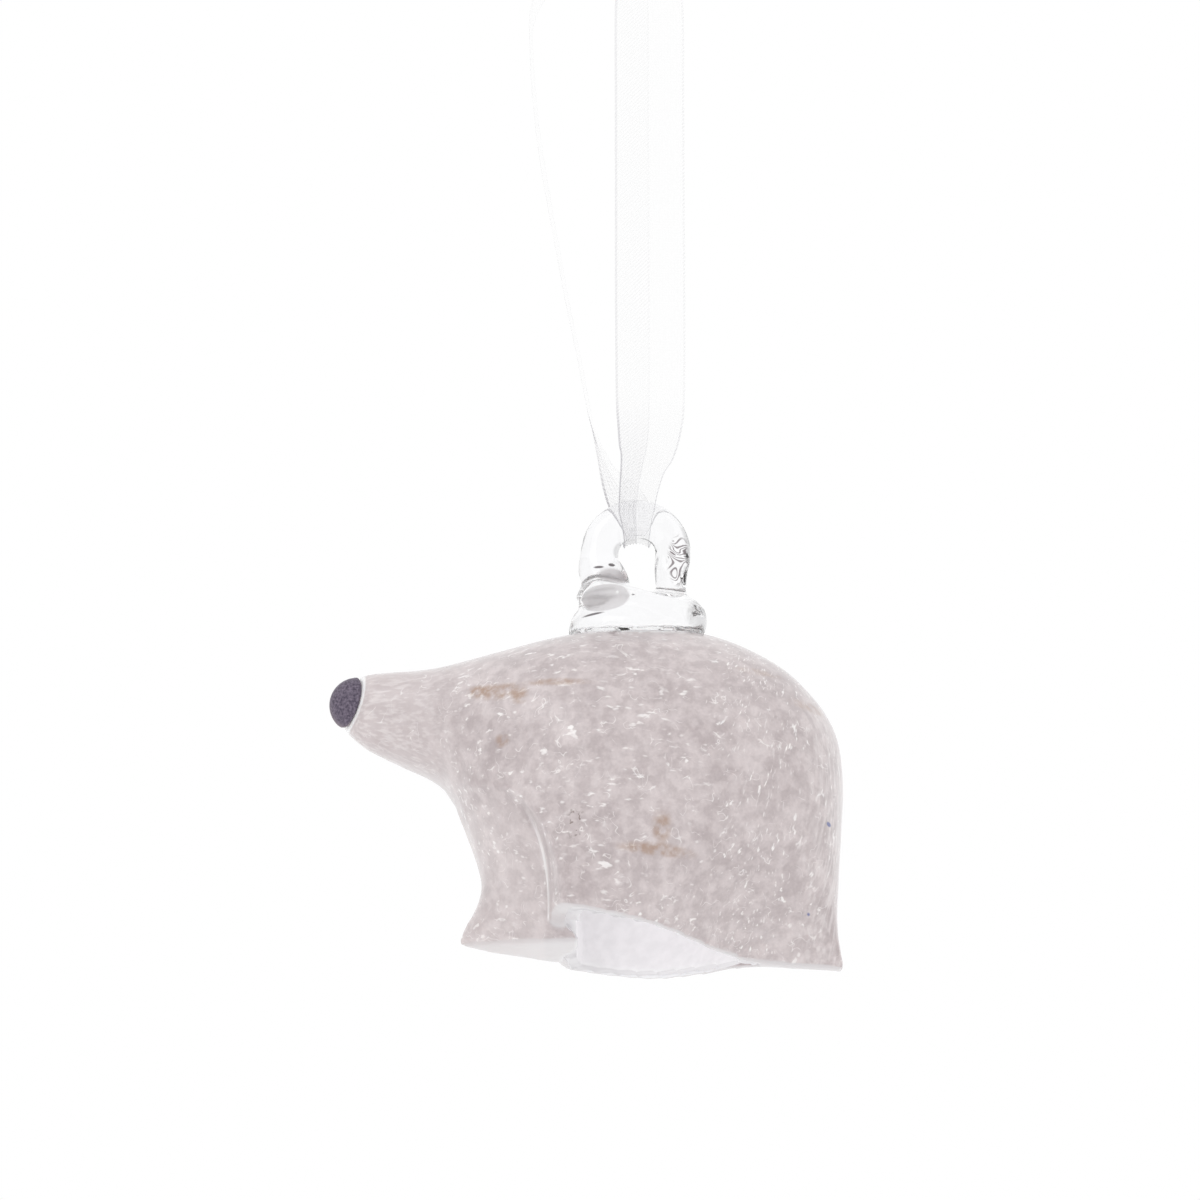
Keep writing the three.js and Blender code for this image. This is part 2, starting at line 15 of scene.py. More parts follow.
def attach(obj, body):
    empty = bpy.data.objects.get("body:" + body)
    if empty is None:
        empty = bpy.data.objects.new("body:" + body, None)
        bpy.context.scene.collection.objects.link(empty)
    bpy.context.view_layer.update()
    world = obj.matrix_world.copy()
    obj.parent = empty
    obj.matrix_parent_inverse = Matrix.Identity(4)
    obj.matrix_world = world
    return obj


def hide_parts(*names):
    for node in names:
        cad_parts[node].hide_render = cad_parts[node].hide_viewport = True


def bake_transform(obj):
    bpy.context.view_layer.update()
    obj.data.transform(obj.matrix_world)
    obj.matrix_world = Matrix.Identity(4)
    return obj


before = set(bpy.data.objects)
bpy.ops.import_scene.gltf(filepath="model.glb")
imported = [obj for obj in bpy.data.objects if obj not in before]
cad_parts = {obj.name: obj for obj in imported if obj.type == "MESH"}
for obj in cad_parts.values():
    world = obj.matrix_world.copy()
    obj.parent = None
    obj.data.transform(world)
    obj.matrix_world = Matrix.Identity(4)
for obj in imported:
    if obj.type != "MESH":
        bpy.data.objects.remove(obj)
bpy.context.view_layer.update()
MM = 0.001
print("frame nodes:", ", ".join(sorted(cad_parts)))

# %% [markdown]
# ## The camera
# The white inside of the belly and the flat sole show, so the ornament was seen from below. The upper and
# lower edges of the open belly are as far apart as a view from about 17 degrees below makes them. A long
# lens keeps the two feet nearly level. A wide lens from closer by would show more of the belly and less of
# the back.

# %% Camera
CAMERA_AT = (0, -0.6761, -0.3052)
CAMERA_AIM = (-0.0051, -0.0066, -0.0992)
SENSOR_WIDTH = 36
LENS = 151.2
NEAREST, FARTHEST = 0.05, 40


def add_object(name, data):
    """Puts a camera, a lamp or a mesh into the scene."""
    thing = bpy.data.objects.new(name, data)
    bpy.context.scene.collection.objects.link(thing)
    return thing


def aim(thing, place, target):
    """Sets a camera or a lamp at its place and turns it towards its target."""
    thing.location = place
    thing.rotation_euler = (Vector(target) - thing.location).to_track_quat("-Z", "Y").to_euler()


camera_data = bpy.data.cameras.new("Camera")
camera_data.sensor_width = SENSOR_WIDTH
camera_data.lens = LENS
camera_data.clip_start = NEAREST
camera_data.clip_end = FARTHEST
camera = add_object("Camera", camera_data)
aim(camera, CAMERA_AT, CAMERA_AIM)
bpy.context.scene.camera = camera
print("camera looks up by", round(math.degrees(camera.rotation_euler.x) - 90, 1), "degrees")

# %% [markdown]
# ## The ribbon
# A strip of organza, 10 mm wide, comes down face-on in front, is gathered into pleats through the loop's
# eye and goes up behind, where it shows its edge. It could be simulated as cloth. A swept section is
# steadier: the pleats get deeper just as the strip gets narrower, so it stays 10 mm wide as it was cut. The
# route is a list of stations, with a half circle under the rod of the loop.

# %% Ribbon route
BEND = 3.4
BEND_HEIGHT = 2.8
BEND_WIDTH = 5
BEND_PINCH = 1.6

# Along, across and height above the loop's eye, width, and turn in degrees, from the knot round to the knot.
front_route = [
    (0.3, -0.2, 86.8, 3, 0),
    (1, -0.5, 85.2, 5.4, 0),
    (1.8, -0.9, 83, 8.8, 0),
    (2, -1.4, 80, 10, 0),
    (2, -2.1, 64, 10, 0),
    (2, -2.7, 50, 10, 0),
    (2, -3.3, 34, 10, 0),
    (2, -3.8, 20, 9.8, 0),
    (1.9, -4, 15.3, 9.2, 0),
    (1.5, -4.1, 11.5, 8, 0),
    (0.9, -4.1, 9, 6.4, 0),
    (0.3, -4.05, 5.6, 5.5, 0),
]
back_route = [
    (-0.8, 4.05, 5.6, 5.5, 0),
    (-2.4, 4.1, 9, 6.2, 35),
    (-3.7, 4.2, 11.5, 8, 64),
    (-5.1, 4.2, 15, 9.4, 78),
    (-6.6, 4, 20, 10, 84),
    (-8.1, 3.7, 28, 10, 84),
    (-9.7, 3.4, 36, 10, 84),
    (-11.3, 3, 45, 10, 84),
    (-13.2, 2.5, 56, 10, 84),
    (-14.5, 2, 66, 10, 86),
    (-15.1, 1.5, 75.5, 10, 88),
    (-14.9, 1.1, 81, 10, 90),
    (-12.6, 0.7, 85.4, 9.8, 90),
    (-7.8, 0.4, 87.6, 8.4, 90),
    (-3.3, 0.2, 88, 4.4, 90),
    (-1.6, 0.1, 88, 3, 90),
]
bend_route = []
for degrees in range(0, 181, 30):
    turned = math.radians(degrees)
    bend_height = BEND_HEIGHT - BEND * math.sin(turned)
    bend_width = BEND_WIDTH - BEND_PINCH * math.sin(turned)
    bend_route.append((0, -BEND * math.cos(turned), bend_height, bend_width, 0))
route = np.array(front_route + bend_route + back_route, float)
print("ribbon route has", len(route), "stations")

# %% [markdown]
# ## The ribbon's curve and pleats
# A curve through all the stations gives the place, the width and the turn of each row of points. Straight
# pieces between stations would show as kinks. Across each row the strip rises and falls in pleats. They are
# as deep as the width that is lost asks for, and pressed flatter where the ribbon bears on the rod.

# %% Curve through the stations
ROWS_PER_STATION = 6


def through(stations):
    """A Catmull-Rom curve through the stations, all their numbers together."""
    padded = np.vstack([2 * stations[0] - stations[1], stations, 2 * stations[-1] - stations[-2]])
    rows = []
    for i in range(1, len(padded) - 2):
        before, here, after, beyond = padded[i - 1 : i + 3]
        for t in np.arange(ROWS_PER_STATION) / ROWS_PER_STATION:
            slope = (after - before) * t
            curve = (2 * before - 5 * here + 4 * after - beyond) * t**2
            bend = (3 * here - before - 3 * after + beyond) * t**3
            rows.append(0.5 * (2 * here + slope + curve + bend))
    rows.append(stations[-1])
    return np.array(rows)


print("the curve has", len(through(route)), "rows")

# %% Pleated section
DROP = 88
RIBBON_WIDTH = 10
PLEATS = 16
PLEAT_LIMIT = 0.55
PRESSED = 0.7
EYE = 2.45
COLUMNS = 6 * PLEATS + 1


def section(station, tangent, cup):
    """The ribbon's points across one station.

    They make the pleats, a slight cup, and the hollow that the ribbon takes under the rod.
    """
    x, y, z, width, turn = station
    sideways = np.array([math.cos(math.radians(turn)), math.sin(math.radians(turn)), 0])
    sideways -= tangent * sideways.dot(tangent)
    sideways /= np.linalg.norm(sideways)
    outward = np.cross(tangent, sideways)
    under = max(0, (BEND_HEIGHT - z) / BEND)
    fold = min(PLEAT_LIMIT, math.sqrt(max(0, RIBBON_WIDTH**2 - width**2)) / PLEATS)
    fold *= 1 - PRESSED * under
    share = np.linspace(0, 1, COLUMNS)
    aside = (share - 0.5) * width
    lift = fold / 2 * np.cos(math.pi * PLEATS * share)
    lift += cup * (1 - (2 * share - 1) ** 2) * width / RIBBON_WIDTH
    lift += under * (EYE - np.sqrt(EYE**2 - np.minimum(EYE, np.abs(aside)) ** 2))
    return np.array([x, y, z - DROP]) + np.outer(aside, sideways) + np.outer(lift, outward)


print("a row has", COLUMNS, "points over", PLEATS // 2, "pleats")

# %% [markdown]
# ## The ribbon's mesh
# A flat grid has the rows and columns of the strip already. Its flat place is kept as a UV map in
# millimetres, which the weave follows later. Then each point moves to its place in the swept strip.

# %% Ribbon strip
RIBBON_CUP = 0.3


def to_mesh(build, name):
    mesh = bpy.data.meshes.new(name)
    build.to_mesh(mesh)
    build.free()
    return mesh


def shade_smooth(piece):
    piece.data.polygons.foreach_set("use_smooth", [True] * len(piece.data.polygons))
    piece.data.update()


def strip(name, stations, cup):
    """A pleated strip along the stations, with its own flat coordinates in millimetres as its UV map."""
    line = through(stations)
    forward = np.gradient(line[:, :3], axis=0)
    forward /= np.linalg.norm(forward, axis=1)[:, None]
    steps = np.linalg.norm(np.diff(line[:, :3], axis=0), axis=1)
    lengths = np.concatenate([[0], np.cumsum(steps)])
    places = [section(station, tangent, cup) for station, tangent in zip(line, forward)]
    last_row, last_column = len(line) - 1, COLUMNS - 1
    build = bmesh.new()
    bmesh.ops.create_grid(build, x_segments=last_column, y_segments=last_row, size=0.5)
    weave = build.loops.layers.uv.new("Weave")
    for face in build.faces:
        for loop in face.loops:
            row = round((loop.vert.co.y + 0.5) * last_row)
            loop[weave].uv = (loop.vert.co.x * RIBBON_WIDTH, lengths[row])
    for vert in build.verts:
        row = round((vert.co.y + 0.5) * last_row)
        column = round((vert.co.x + 0.5) * last_column)
        vert.co = places[row][column] * MM
    bmesh.ops.recalc_face_normals(build, faces=build.faces)
    return to_mesh(build, name), lengths[-1]


ribbon_mesh, ribbon_length = strip("organza_ribbon", route, RIBBON_CUP)
ribbon = add_object("organza_ribbon", ribbon_mesh)
shade_smooth(ribbon)
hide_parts("ribbon_front_strand", "ribbon_back_strand", "ribbon_bight")
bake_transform(ribbon)
print("ribbon strip is", round(ribbon_length, 1), "mm long from knot to knot")

# %% [markdown]
# ## The knot
# The ribbon's ends are tied above what the picture shows. A true knot could be swept along its own path,
# but it would hardly show. A core with a turn of ribbon round it and two cut ends are enough: a ball, a
# ring that is spun from a circle, and two more strips, in one object because they are one tied lump.

# %% Knot core and turn
KNOT_CORE = 2.55
KNOT_RING = 1.8
KNOT_RING_TUBE = 1.1
RING_LEAN = math.radians(18)
RING_TIP = math.radians(62)
# Across the weave's map, past the ribbon's own edge, so that the weave can treat the tied lump on its own.
TIED_AT = 7

knot_build = bmesh.new()
bmesh.ops.create_uvsphere(knot_build, u_segments=32, v_segments=20, radius=KNOT_CORE * MM)
ring_tube = {
    "segments": 16,
    "radius": KNOT_RING_TUBE * MM,
    "matrix": Matrix.Translation((KNOT_RING * MM, 0, 0)) @ Matrix.Rotation(math.pi / 2, 4, "X"),
}
circle = bmesh.ops.create_circle(knot_build, **ring_tube)["verts"]
edges = list(dict.fromkeys(edge for vert in circle for edge in vert.link_edges))
bmesh.ops.spin(
    knot_build,
    geom=circle + edges,
    cent=(0, 0, 0),
    axis=(0, 0, 1),
    angle=2 * math.pi,
    steps=36,
    use_merge=True,
)
ring_turn = Matrix.Rotation(RING_LEAN, 4, "Y") @ Matrix.Rotation(RING_TIP, 4, "X")
bmesh.ops.remove_doubles(knot_build, verts=knot_build.verts, dist=1e-7)
bmesh.ops.transform(knot_build, matrix=ring_turn, verts=knot_build.verts)
bmesh.ops.recalc_face_normals(knot_build, faces=knot_build.faces)
weave = knot_build.loops.layers.uv.new("Weave")
for face in knot_build.faces:
    for loop in face.loops:
        loop[weave].uv = (TIED_AT, loop.vert.co.z / MM)
print("knot's core and turn have", len(knot_build.faces), "faces")

# %% Knot tails
TAIL_LENGTH = 15
TAIL_SPREAD = math.radians(28)
TAIL_ASIDE = 0.45
TAIL_ACROSS = 0.9
TAIL_UP = 1.2
TAIL_NARROW = 2.4
TAIL_WIDENS = 6.4
TAIL_WIDE_FROM = 0.7

for side in (-1, 1):
    tail = []
    for share in (0, 0.2, 0.4, 0.6, 0.8, 1):
        lean = side * TAIL_SPREAD * share
        place_x = side * TAIL_ASIDE + TAIL_LENGTH * share * math.sin(lean)
        place_z = DROP + TAIL_UP + TAIL_LENGTH * share * math.cos(lean)
        width = TAIL_NARROW + TAIL_WIDENS * min(1, share / TAIL_WIDE_FROM)
        tail.append((place_x, side * TAIL_ACROSS, place_z, width, 0))
    tail_mesh, tail_length = strip("tail", np.array(tail, float), cup=0)
    knot_build.from_mesh(tail_mesh)
    bpy.data.meshes.remove(tail_mesh)
knot = add_object("organza_knot", to_mesh(knot_build, "organza_knot"))
shade_smooth(knot)
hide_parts("ribbon_knot")
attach(knot, "knot")
print("knot has", len(knot.data.polygons), "faces; each tail is", round(tail_length, 1), "mm long")

# %% [markdown]
# ## The glass surfaces
# Hot glass has no sharp edges and no facets. The frame's solid is wrapped in a fine even mesh, which is
# then smoothed: each round draws every point halfway towards its neighbours. A few rounds take away the
# facets and hardly change the form. A subdivision surface on the solid itself would round the thin rims
# away.


# %% Wrap
def apply_modifiers(piece):
    """Replaces an object's mesh by what its modifiers make of it."""
    evaluated = piece.evaluated_get(bpy.context.evaluated_depsgraph_get())
    finished = bpy.data.meshes.new_from_object(evaluated)
    piece.modifiers.clear()
    piece.data = finished


def wrapped(name, nodes, cell, lumps=()):
    """The frame's solids and some round lumps, joined in an even mesh with cells of that size in mm."""
    build = bmesh.new()
    for node in nodes:
        build.from_mesh(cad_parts[node].data)
    bmesh.ops.remove_doubles(build, verts=build.verts, dist=1e-6)
    for centre, radii, lean in lumps:
        lump = Matrix.Diagonal((*radii, 1))
        leaning = Matrix(((1, 0, 0, 0), (0, 1, 0, 0), (0, lean, 1, 0), (0, 0, 0, 1)))
        place = Matrix.Scale(MM, 4) @ Matrix.Translation(centre) @ leaning @ lump
        bmesh.ops.create_icosphere(build, subdivisions=4, radius=1, matrix=place)
    piece = add_object(name, to_mesh(build, name))
    remesh = piece.modifiers.new("Even mesh", "REMESH")
    remesh.mode = "VOXEL"
    remesh.voxel_size = cell * MM
    apply_modifiers(piece)
    print(name, "is wrapped in", len(piece.data.polygons), "faces")
    return piece


# %% Smooth and push
def smooth(piece, rounds, chosen=lambda place: True):
    """Draws the chosen points halfway towards their neighbours, round after round."""
    build = bmesh.new()
    build.from_mesh(piece.data)
    verts = [vert for vert in build.verts if chosen(vert.co)]
    every_way = {"use_axis_x": True, "use_axis_y": True, "use_axis_z": True}
    for _ in range(rounds):
        bmesh.ops.smooth_vert(build, verts=verts, factor=0.5, **every_way)
    build.to_mesh(piece.data)
    build.free()
    shade_smooth(piece)


def push(piece, move):
    """Moves each point by what move says for its place and normal, in millimetres."""
    build = bmesh.new()
    build.from_mesh(piece.data)
    build.normal_update()
    shifts = [(vert, move(vert.co, vert.normal) * MM) for vert in build.verts]
    for vert, shift in shifts:
        vert.co += shift
    build.to_mesh(piece.data)
    build.free()
    shade_smooth(piece)
    print(piece.name, "is pushed by up to", round(max(s.length for _, s in shifts) / MM, 2), "mm")


def ramp(low, high, value):
    """0 at low and 1 at high, with a soft start and end."""
    share = min(1, max(0, (value - low) / (high - low)))
    return share * share * (3 - 2 * share)


# %% [markdown]
# ## The bear's own directions
# The bear hangs tipped by 3.8 degrees, nose up. Marks on it could be placed in the tipped directions of the
# scene, but they are easier to place as the bear stands: along from the hanging axis, across, and up from
# its soles, in millimetres.

# %% Stance
HANG_TILT = math.radians(3.8)
STANCE_AT = (0.4 * MM, 0, -148.62 * MM)

levelled = Matrix.Rotation(-HANG_TILT, 4, "Y")
standing = Matrix.Scale(1 / MM, 4) @ levelled @ Matrix.Translation(-Vector(STANCE_AT))
print("the hanging point as the bear stands:", [round(value, 1) for value in standing @ Vector((0, 0, 0))])

# %% [markdown]
# ## The casing
# The bubble of mottled glass. Its broad flanks are smoothed most. The ground soles and rim and the fold
# behind the front leg are smoothed least, because those edges stay crisp. The leg's lower rear corner on
# the near side was drawn back while the glass was soft, so it slants over the open belly. Pushing the
# points there is simpler than carving a corner of that shape.

# %% Casing
CASING_CELL = 0.46
ARCH_MIDDLE = -21.5
ARCH_REACH = 8.8
ARCH_FOOT = 2.2
ARCH_RISE = 16.8
SOLE_EDGE = 3.5
FOLD_EDGE = 1.5
HEEL_AT = -10
HEEL_DRAWN = 2.2
HEEL_HEIGHT = 3.2


def away_from_edges(place):
    along, _, height = standing @ place
    arch = math.hypot((along - ARCH_MIDDLE) / ARCH_REACH, max(0, height - ARCH_FOOT) / ARCH_RISE)
    return height > SOLE_EDGE and abs(arch - 1) * ARCH_REACH > FOLD_EDGE


def drawn_back(place, normal):
    """How far the near front leg's lower rear corner was drawn back over the open belly."""
    along, across, height = standing @ place
    reach = (1 - ramp(1, 5.5, abs(along - HEEL_AT))) * ramp(5, -3, across)
    return Vector((HEEL_DRAWN, 0, 0)) * reach * (1 - ramp(0, HEEL_HEIGHT, height))


casing = wrapped("mottled_glass_bear", ["mottled_casing"], CASING_CELL)
smooth(casing, rounds=8)
smooth(casing, rounds=16, chosen=away_from_edges)
push(casing, drawn_back)
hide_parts("mottled_casing")
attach(casing, "bear")

# %% [markdown]
# ## The white layer
# It lines the bubble and shows through the open belly. It is fused to the casing, so it is pushed out until
# the two meet, and only its ground lower edge stays where it is. It could be a thickness of the casing
# itself, but a piece of its own can have its own glass.

# %% Lining
LINING_CELL = 0.415
FUSED = 0.36
BELLY_AT = 3
RIM_FILL = 0.5


def fused_out(place, normal):
    """The white layer, pushed out to meet the casing everywhere but on its ground edge."""
    return normal * FUSED * (1 - ramp(0.3, 0.8, -normal.z))


def rim_filled(place, normal):
    """The white layer's lower outer edge, spread into the groove that rounding leaves beside the casing."""
    along, across, height = standing @ place
    outward = Vector((along - BELLY_AT, across, 0)).normalized().dot(normal)
    return normal * RIM_FILL * ramp(0.1, 0.6, outward) * (1 - ramp(2, 4, height))


lining = wrapped("opal_glass_lining", ["opal_lining"], LINING_CELL)
smooth(lining, rounds=8)
push(lining, fused_out)
push(lining, drawn_back)
push(lining, rim_filled)
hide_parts("opal_lining")
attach(lining, "bear")

# %% [markdown]
# ## The nose
# A dab of dark glass, nearly flat, on the cut end of the snout. A flattened ball would do as well, but the
# frame has its form already, so it is wrapped in small cells, smoothed, and pushed back into the snout that
# it is fused to.

# %% Nose
NOSE_CELL = 0.15


def fused_back(place, normal):
    """The nose's rear side, pushed back into the snout."""
    return normal * FUSED * ramp(0.2, 0.7, normal.x)


nose = wrapped("dark_glass_nose", ["nose_dab"], NOSE_CELL)
smooth(nose, rounds=10)
push(nose, fused_back)
smooth(nose, rounds=5)
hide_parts("nose_dab")
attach(nose, "bear")

# %% [markdown]
# ## The clear lump and loop
# Both are one piece of clear glass once they have fused, so they are wrapped together, with more glass at
# each root of the loop. The groove round the lump is filled on its rear side and stays open under the lobe
# in front, where the gather of glass was folded over. Clear glass shows every unevenness by what it bends.
# So the mesh is coarse while it is smoothed and is then subdivided, which leaves fewer ripples than a fine
# mesh would. The rear leg of the loop was twisted while soft and is wavy.

# %% Clear lump and loop
HANGER_CELL = 0.34
PAD_LEAN = 0.22
PAD_FRONT = -4.5 * MM
PAD_TOP = -99.4 * MM
WAVE_DEPTH = 0.04

# Centre, radii and lean of each lump.
glass_lumps = [
    ((-4.3, 0, -95.4), (3.4, 3.4, 2.2), 0),
    ((5.4, 0, -97.6), (1.7, 1.7, 1.8), 0),
    ((0, 0, -102.8), (9.2, 9, 1.9), 0),
    ((2.4, 0, -98.7), (6.9, 8.9, 2.7), PAD_LEAN),
    ((-4.2, -4.9, -98.6), (3.7, 3.5, 1.9), 0),
    ((6.5, -1, -100.6), (3.7, 5.5, 2.5), 0),
    ((4.7, 0, -92.6), (2.3, 2.2, 5.6), 0),
]


def twisted(place, normal):
    """How far the wavy rear leg of the loop stands out or in."""
    along, height = place.x / MM, place.z / MM
    reach = ramp(3.4, 5, along) * ramp(-97, -95, height) * (1 - ramp(-90.5, -88.5, height))
    ripples = math.sin(4.4 * along + 1.3 * height) + 0.6 * math.sin(2.6 * along - 1.9 * height + 1)
    return normal * WAVE_DEPTH * reach * ripples


hanger = wrapped("clear_glass_hanger", ["hanger_pad", "hanging_loop"], HANGER_CELL, glass_lumps)
smooth(hanger, rounds=14)
smooth(hanger, rounds=40, chosen=lambda place: place.x > PAD_FRONT and place.z < PAD_TOP)
finer = hanger.modifiers.new("Finer", "SUBSURF")
finer.levels = 1
finer.render_levels = 1
apply_modifiers(hanger)
push(hanger, twisted)
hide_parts("hanger_pad", "hanging_loop")
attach(hanger, "bear")
print("clear glass has", len(hanger.data.polygons), "faces")

# %% [markdown]
# ## Shader nodes
# A material is a net of nodes, which could be drawn by hand in the shader editor. In a script, one function
# adds a node with its values and links and gives back one of its outputs, so a pattern reads from top to
# bottom like a recipe. Another turns the hex colours that people read into the linear values that shaders
# use.

# %% Node and colour helpers
SMOOTHSTEP = {"interpolation_type": "SMOOTHSTEP"}


def add_node(owner, kind, inputs=(), output=0, **settings):
    """Adds a shader node, sets or links its inputs, and returns one of its outputs."""
    node = owner.node_tree.nodes.new("ShaderNode" + kind)
    for key, value in settings.items():
        setattr(node, key, value)
    for key, value in inputs.items() if isinstance(inputs, dict) else enumerate(inputs):
        if isinstance(value, bpy.types.NodeSocket):
            owner.node_tree.links.new(value, node.inputs[key])
        else:
            node.inputs[key].default_value = value
    return node.outputs[output] if node.outputs else None


def linear(hex_colour):
    channels = [int(hex_colour[i : i + 2], 16) / 255 for i in (0, 2, 4)]
    curve = [c / 12.92 if c <= 0.04045 else ((c + 0.055) / 1.055) ** 2.4 for c in channels]
    return (*curve, 1)


def new_material(name):
    material = bpy.data.materials.new(name)
    material.use_nodes = True
    material.node_tree.nodes.clear()
    return material


def dress(material, shader, *pieces):
    """Ends a material in its shader and gives it to the pieces."""
    add_node(material, "OutputMaterial", {"Surface": shader})
    for piece in pieces:
        piece.data.materials.clear()
        piece.data.materials.append(material)
    print(material.name, "on", ", ".join(piece.name for piece in pieces))


print("the middle grey 808080 is", round(linear("808080")[0], 3), "in linear light")

# %% [markdown]
# ## Mottled glass
# Crushed coloured glass was rolled into the bubble: soft blotches of grey-pink some 6 mm across, with
# grains of 2 mm in them. A painted picture would have to be wrapped round the bear and would stretch on its
# snout. Noise in the bear's own millimetres goes through the glass as the real colour does, and its scale
# can be read from the numbers. The snout was drawn out from the bubble, so its colours are calmer.

# %% Blotches
WANDER_PER_MM = 0.5
BLOTCHES_PER_MM = 0.16
GRAINS_PER_MM = 0.55
FINE_PER_MM = 2.4
SNOUT_FROM, SNOUT_FULL = -22, -36

mottled = new_material("Mottled glass")
bear_mm = add_node(
    mottled,
    "Mapping",
    {
        "Vector": add_node(mottled, "TexCoord", output="Object"),
        "Location": STANCE_AT,
        "Rotation": (0, HANG_TILT, 0),
        "Scale": (MM, MM, MM),
    },
    vector_type="TEXTURE",
)
along_bear, across_bear, above_sole = add_node(mottled, "SeparateXYZ", [bear_mm]).node.outputs
wander = add_node(mottled, "TexNoise", {"Vector": bear_mm, "Scale": WANDER_PER_MM, "Detail": 2}, "Color")
bent = add_node(mottled, "VectorMath", [bear_mm, wander], operation="ADD")
broad = add_node(mottled, "TexNoise", {"Vector": bear_mm, "Scale": BLOTCHES_PER_MM, "Detail": 3})
blotches = add_node(mottled, "MapRange", [broad, 0.34, 0.68], **SMOOTHSTEP)
small = add_node(mottled, "TexNoise", {"Vector": bent, "Scale": GRAINS_PER_MM, "Detail": 3})
grains = add_node(mottled, "MapRange", [small, 0.36, 0.66], **SMOOTHSTEP)
tone = add_node(mottled, "Mix", {0: 0.6, 2: blotches, 3: grains}, data_type="FLOAT")
fine = add_node(mottled, "TexNoise", {"Vector": bear_mm, "Scale": FINE_PER_MM, "Detail": 2})
fine = add_node(mottled, "MapRange", [fine, 0.3, 0.7])
tone = add_node(mottled, "Mix", {0: 0.22, 2: tone, 3: fine}, data_type="FLOAT")
calm = add_node(mottled, "MapRange", [along_bear, SNOUT_FROM, SNOUT_FULL, 0.0, 0.7], **SMOOTHSTEP)
tone = add_node(mottled, "Mix", {0: calm, 2: tone, 3: 0.6}, data_type="FLOAT")
grey_pink = {0: tone, 6: linear("B4A8A9"), 7: linear("DAD0D0")}
colour = add_node(mottled, "Mix", grey_pink, 2, data_type="RGBA")
print("blotches of", round(1 / BLOTCHES_PER_MM, 1), "mm with grains of", round(1 / GRAINS_PER_MM, 1), "mm")

# %% [markdown]
# ## White flecks
# Bits of white glass of half a millimetre to a millimetre lie in the casing. Blowing drew them out along
# the bear, and upright at its rump. Thousands of small solids could stand for them. A second noise is
# lighter: it is stretched the way that the glass flowed, and only its peaks are kept. Single dots come from
# the cells of a Voronoi pattern.

# %% White flecks
FLECK_WHITE = "FBF8F7"
FLECKS_PER_MM = 1.25
DOTS_PER_MM = 0.9
DRAWN_OUT = 0.42
RUMP_FROM, RUMP_FULL = 8, 20
BODY_FROM, BODY_FULL = -38, -24


def paint(under, mask, strength, hex_colour):
    """A coat of colour over what is under it, where the mask is."""
    cover = add_node(mottled, "Math", [mask, strength], operation="MULTIPLY")
    return add_node(mottled, "Mix", {0: cover, 6: under, 7: linear(hex_colour)}, 2, data_type="RGBA")


rump = add_node(mottled, "MapRange", [along_bear, RUMP_FROM, RUMP_FULL], **SMOOTHSTEP)
drawn_along = add_node(mottled, "Mapping", {"Vector": bent, "Scale": (DRAWN_OUT, 1, 1)})
drawn_up = add_node(mottled, "Mapping", {"Vector": bent, "Scale": (1, 1, DRAWN_OUT)})
flow = add_node(mottled, "Mix", {0: rump, 4: drawn_along, 5: drawn_up}, 1, data_type="VECTOR")
crushed = add_node(mottled, "TexNoise", {"Vector": flow, "Scale": FLECKS_PER_MM, "Detail": 2})
flecks = add_node(mottled, "MapRange", [crushed, 0.59, 0.72], **SMOOTHSTEP)
gathered = add_node(mottled, "TexNoise", {"Vector": bear_mm, "Scale": 0.2, "Detail": 1})
gathered = add_node(mottled, "MapRange", [gathered, 0.38, 0.62], **SMOOTHSTEP)
flecks = add_node(mottled, "Math", [flecks, gathered], operation="MULTIPLY")
grit_cells = add_node(mottled, "TexVoronoi", {"Vector": flow, "Scale": DOTS_PER_MM})
picked = add_node(mottled, "SeparateXYZ", [grit_cells.node.outputs["Color"]])
picked = add_node(mottled, "MapRange", [picked, 0.7, 0.8], **SMOOTHSTEP)
dots = add_node(mottled, "MapRange", [grit_cells, 0.24, 0.06], **SMOOTHSTEP)
dots = add_node(mottled, "Math", [dots, picked], operation="MULTIPLY")
body = add_node(mottled, "MapRange", [along_bear, BODY_FROM, BODY_FULL], **SMOOTHSTEP)
flecks = add_node(mottled, "Math", [flecks, body], operation="MULTIPLY")
dots = add_node(mottled, "Math", [dots, body], operation="MULTIPLY")
colour = paint(colour, flecks, 0.8, FLECK_WHITE)
colour = paint(colour, dots, 0.55, FLECK_WHITE)
print("flecks about", round(1 / FLECKS_PER_MM, 1), "mm apart, drawn out", round(1 / DRAWN_OUT, 1), "times")

# %% [markdown]
# ## Threads and streaks
# A few fine white threads curl through the glass, and the snout and rump have streaks where they were drawn
# out. Curves could be laid on the surface. The level lines of a noise curl in the same way by themselves,
# and a noise that is stretched one way gives streaks.

# %% Threads and streaks
CURLS_PER_MM = 0.4

curl = add_node(mottled, "TexNoise", {"Vector": bent, "Scale": CURLS_PER_MM, "Detail": 1, "Distortion": 0.8})
curl = add_node(mottled, "Math", [curl, 0.5], operation="SUBTRACT")
curl = add_node(mottled, "Math", [curl], operation="ABSOLUTE")
threads = add_node(mottled, "MapRange", [curl, 0.014, 0.003], **SMOOTHSTEP)
rare = add_node(mottled, "TexNoise", {"Vector": bear_mm, "Scale": 0.45, "Detail": 1})
rare = add_node(mottled, "MapRange", [rare, 0.5, 0.61], **SMOOTHSTEP)
threads = add_node(mottled, "Math", [threads, rare], operation="MULTIPLY")
colour = paint(colour, threads, 0.5, FLECK_WHITE)
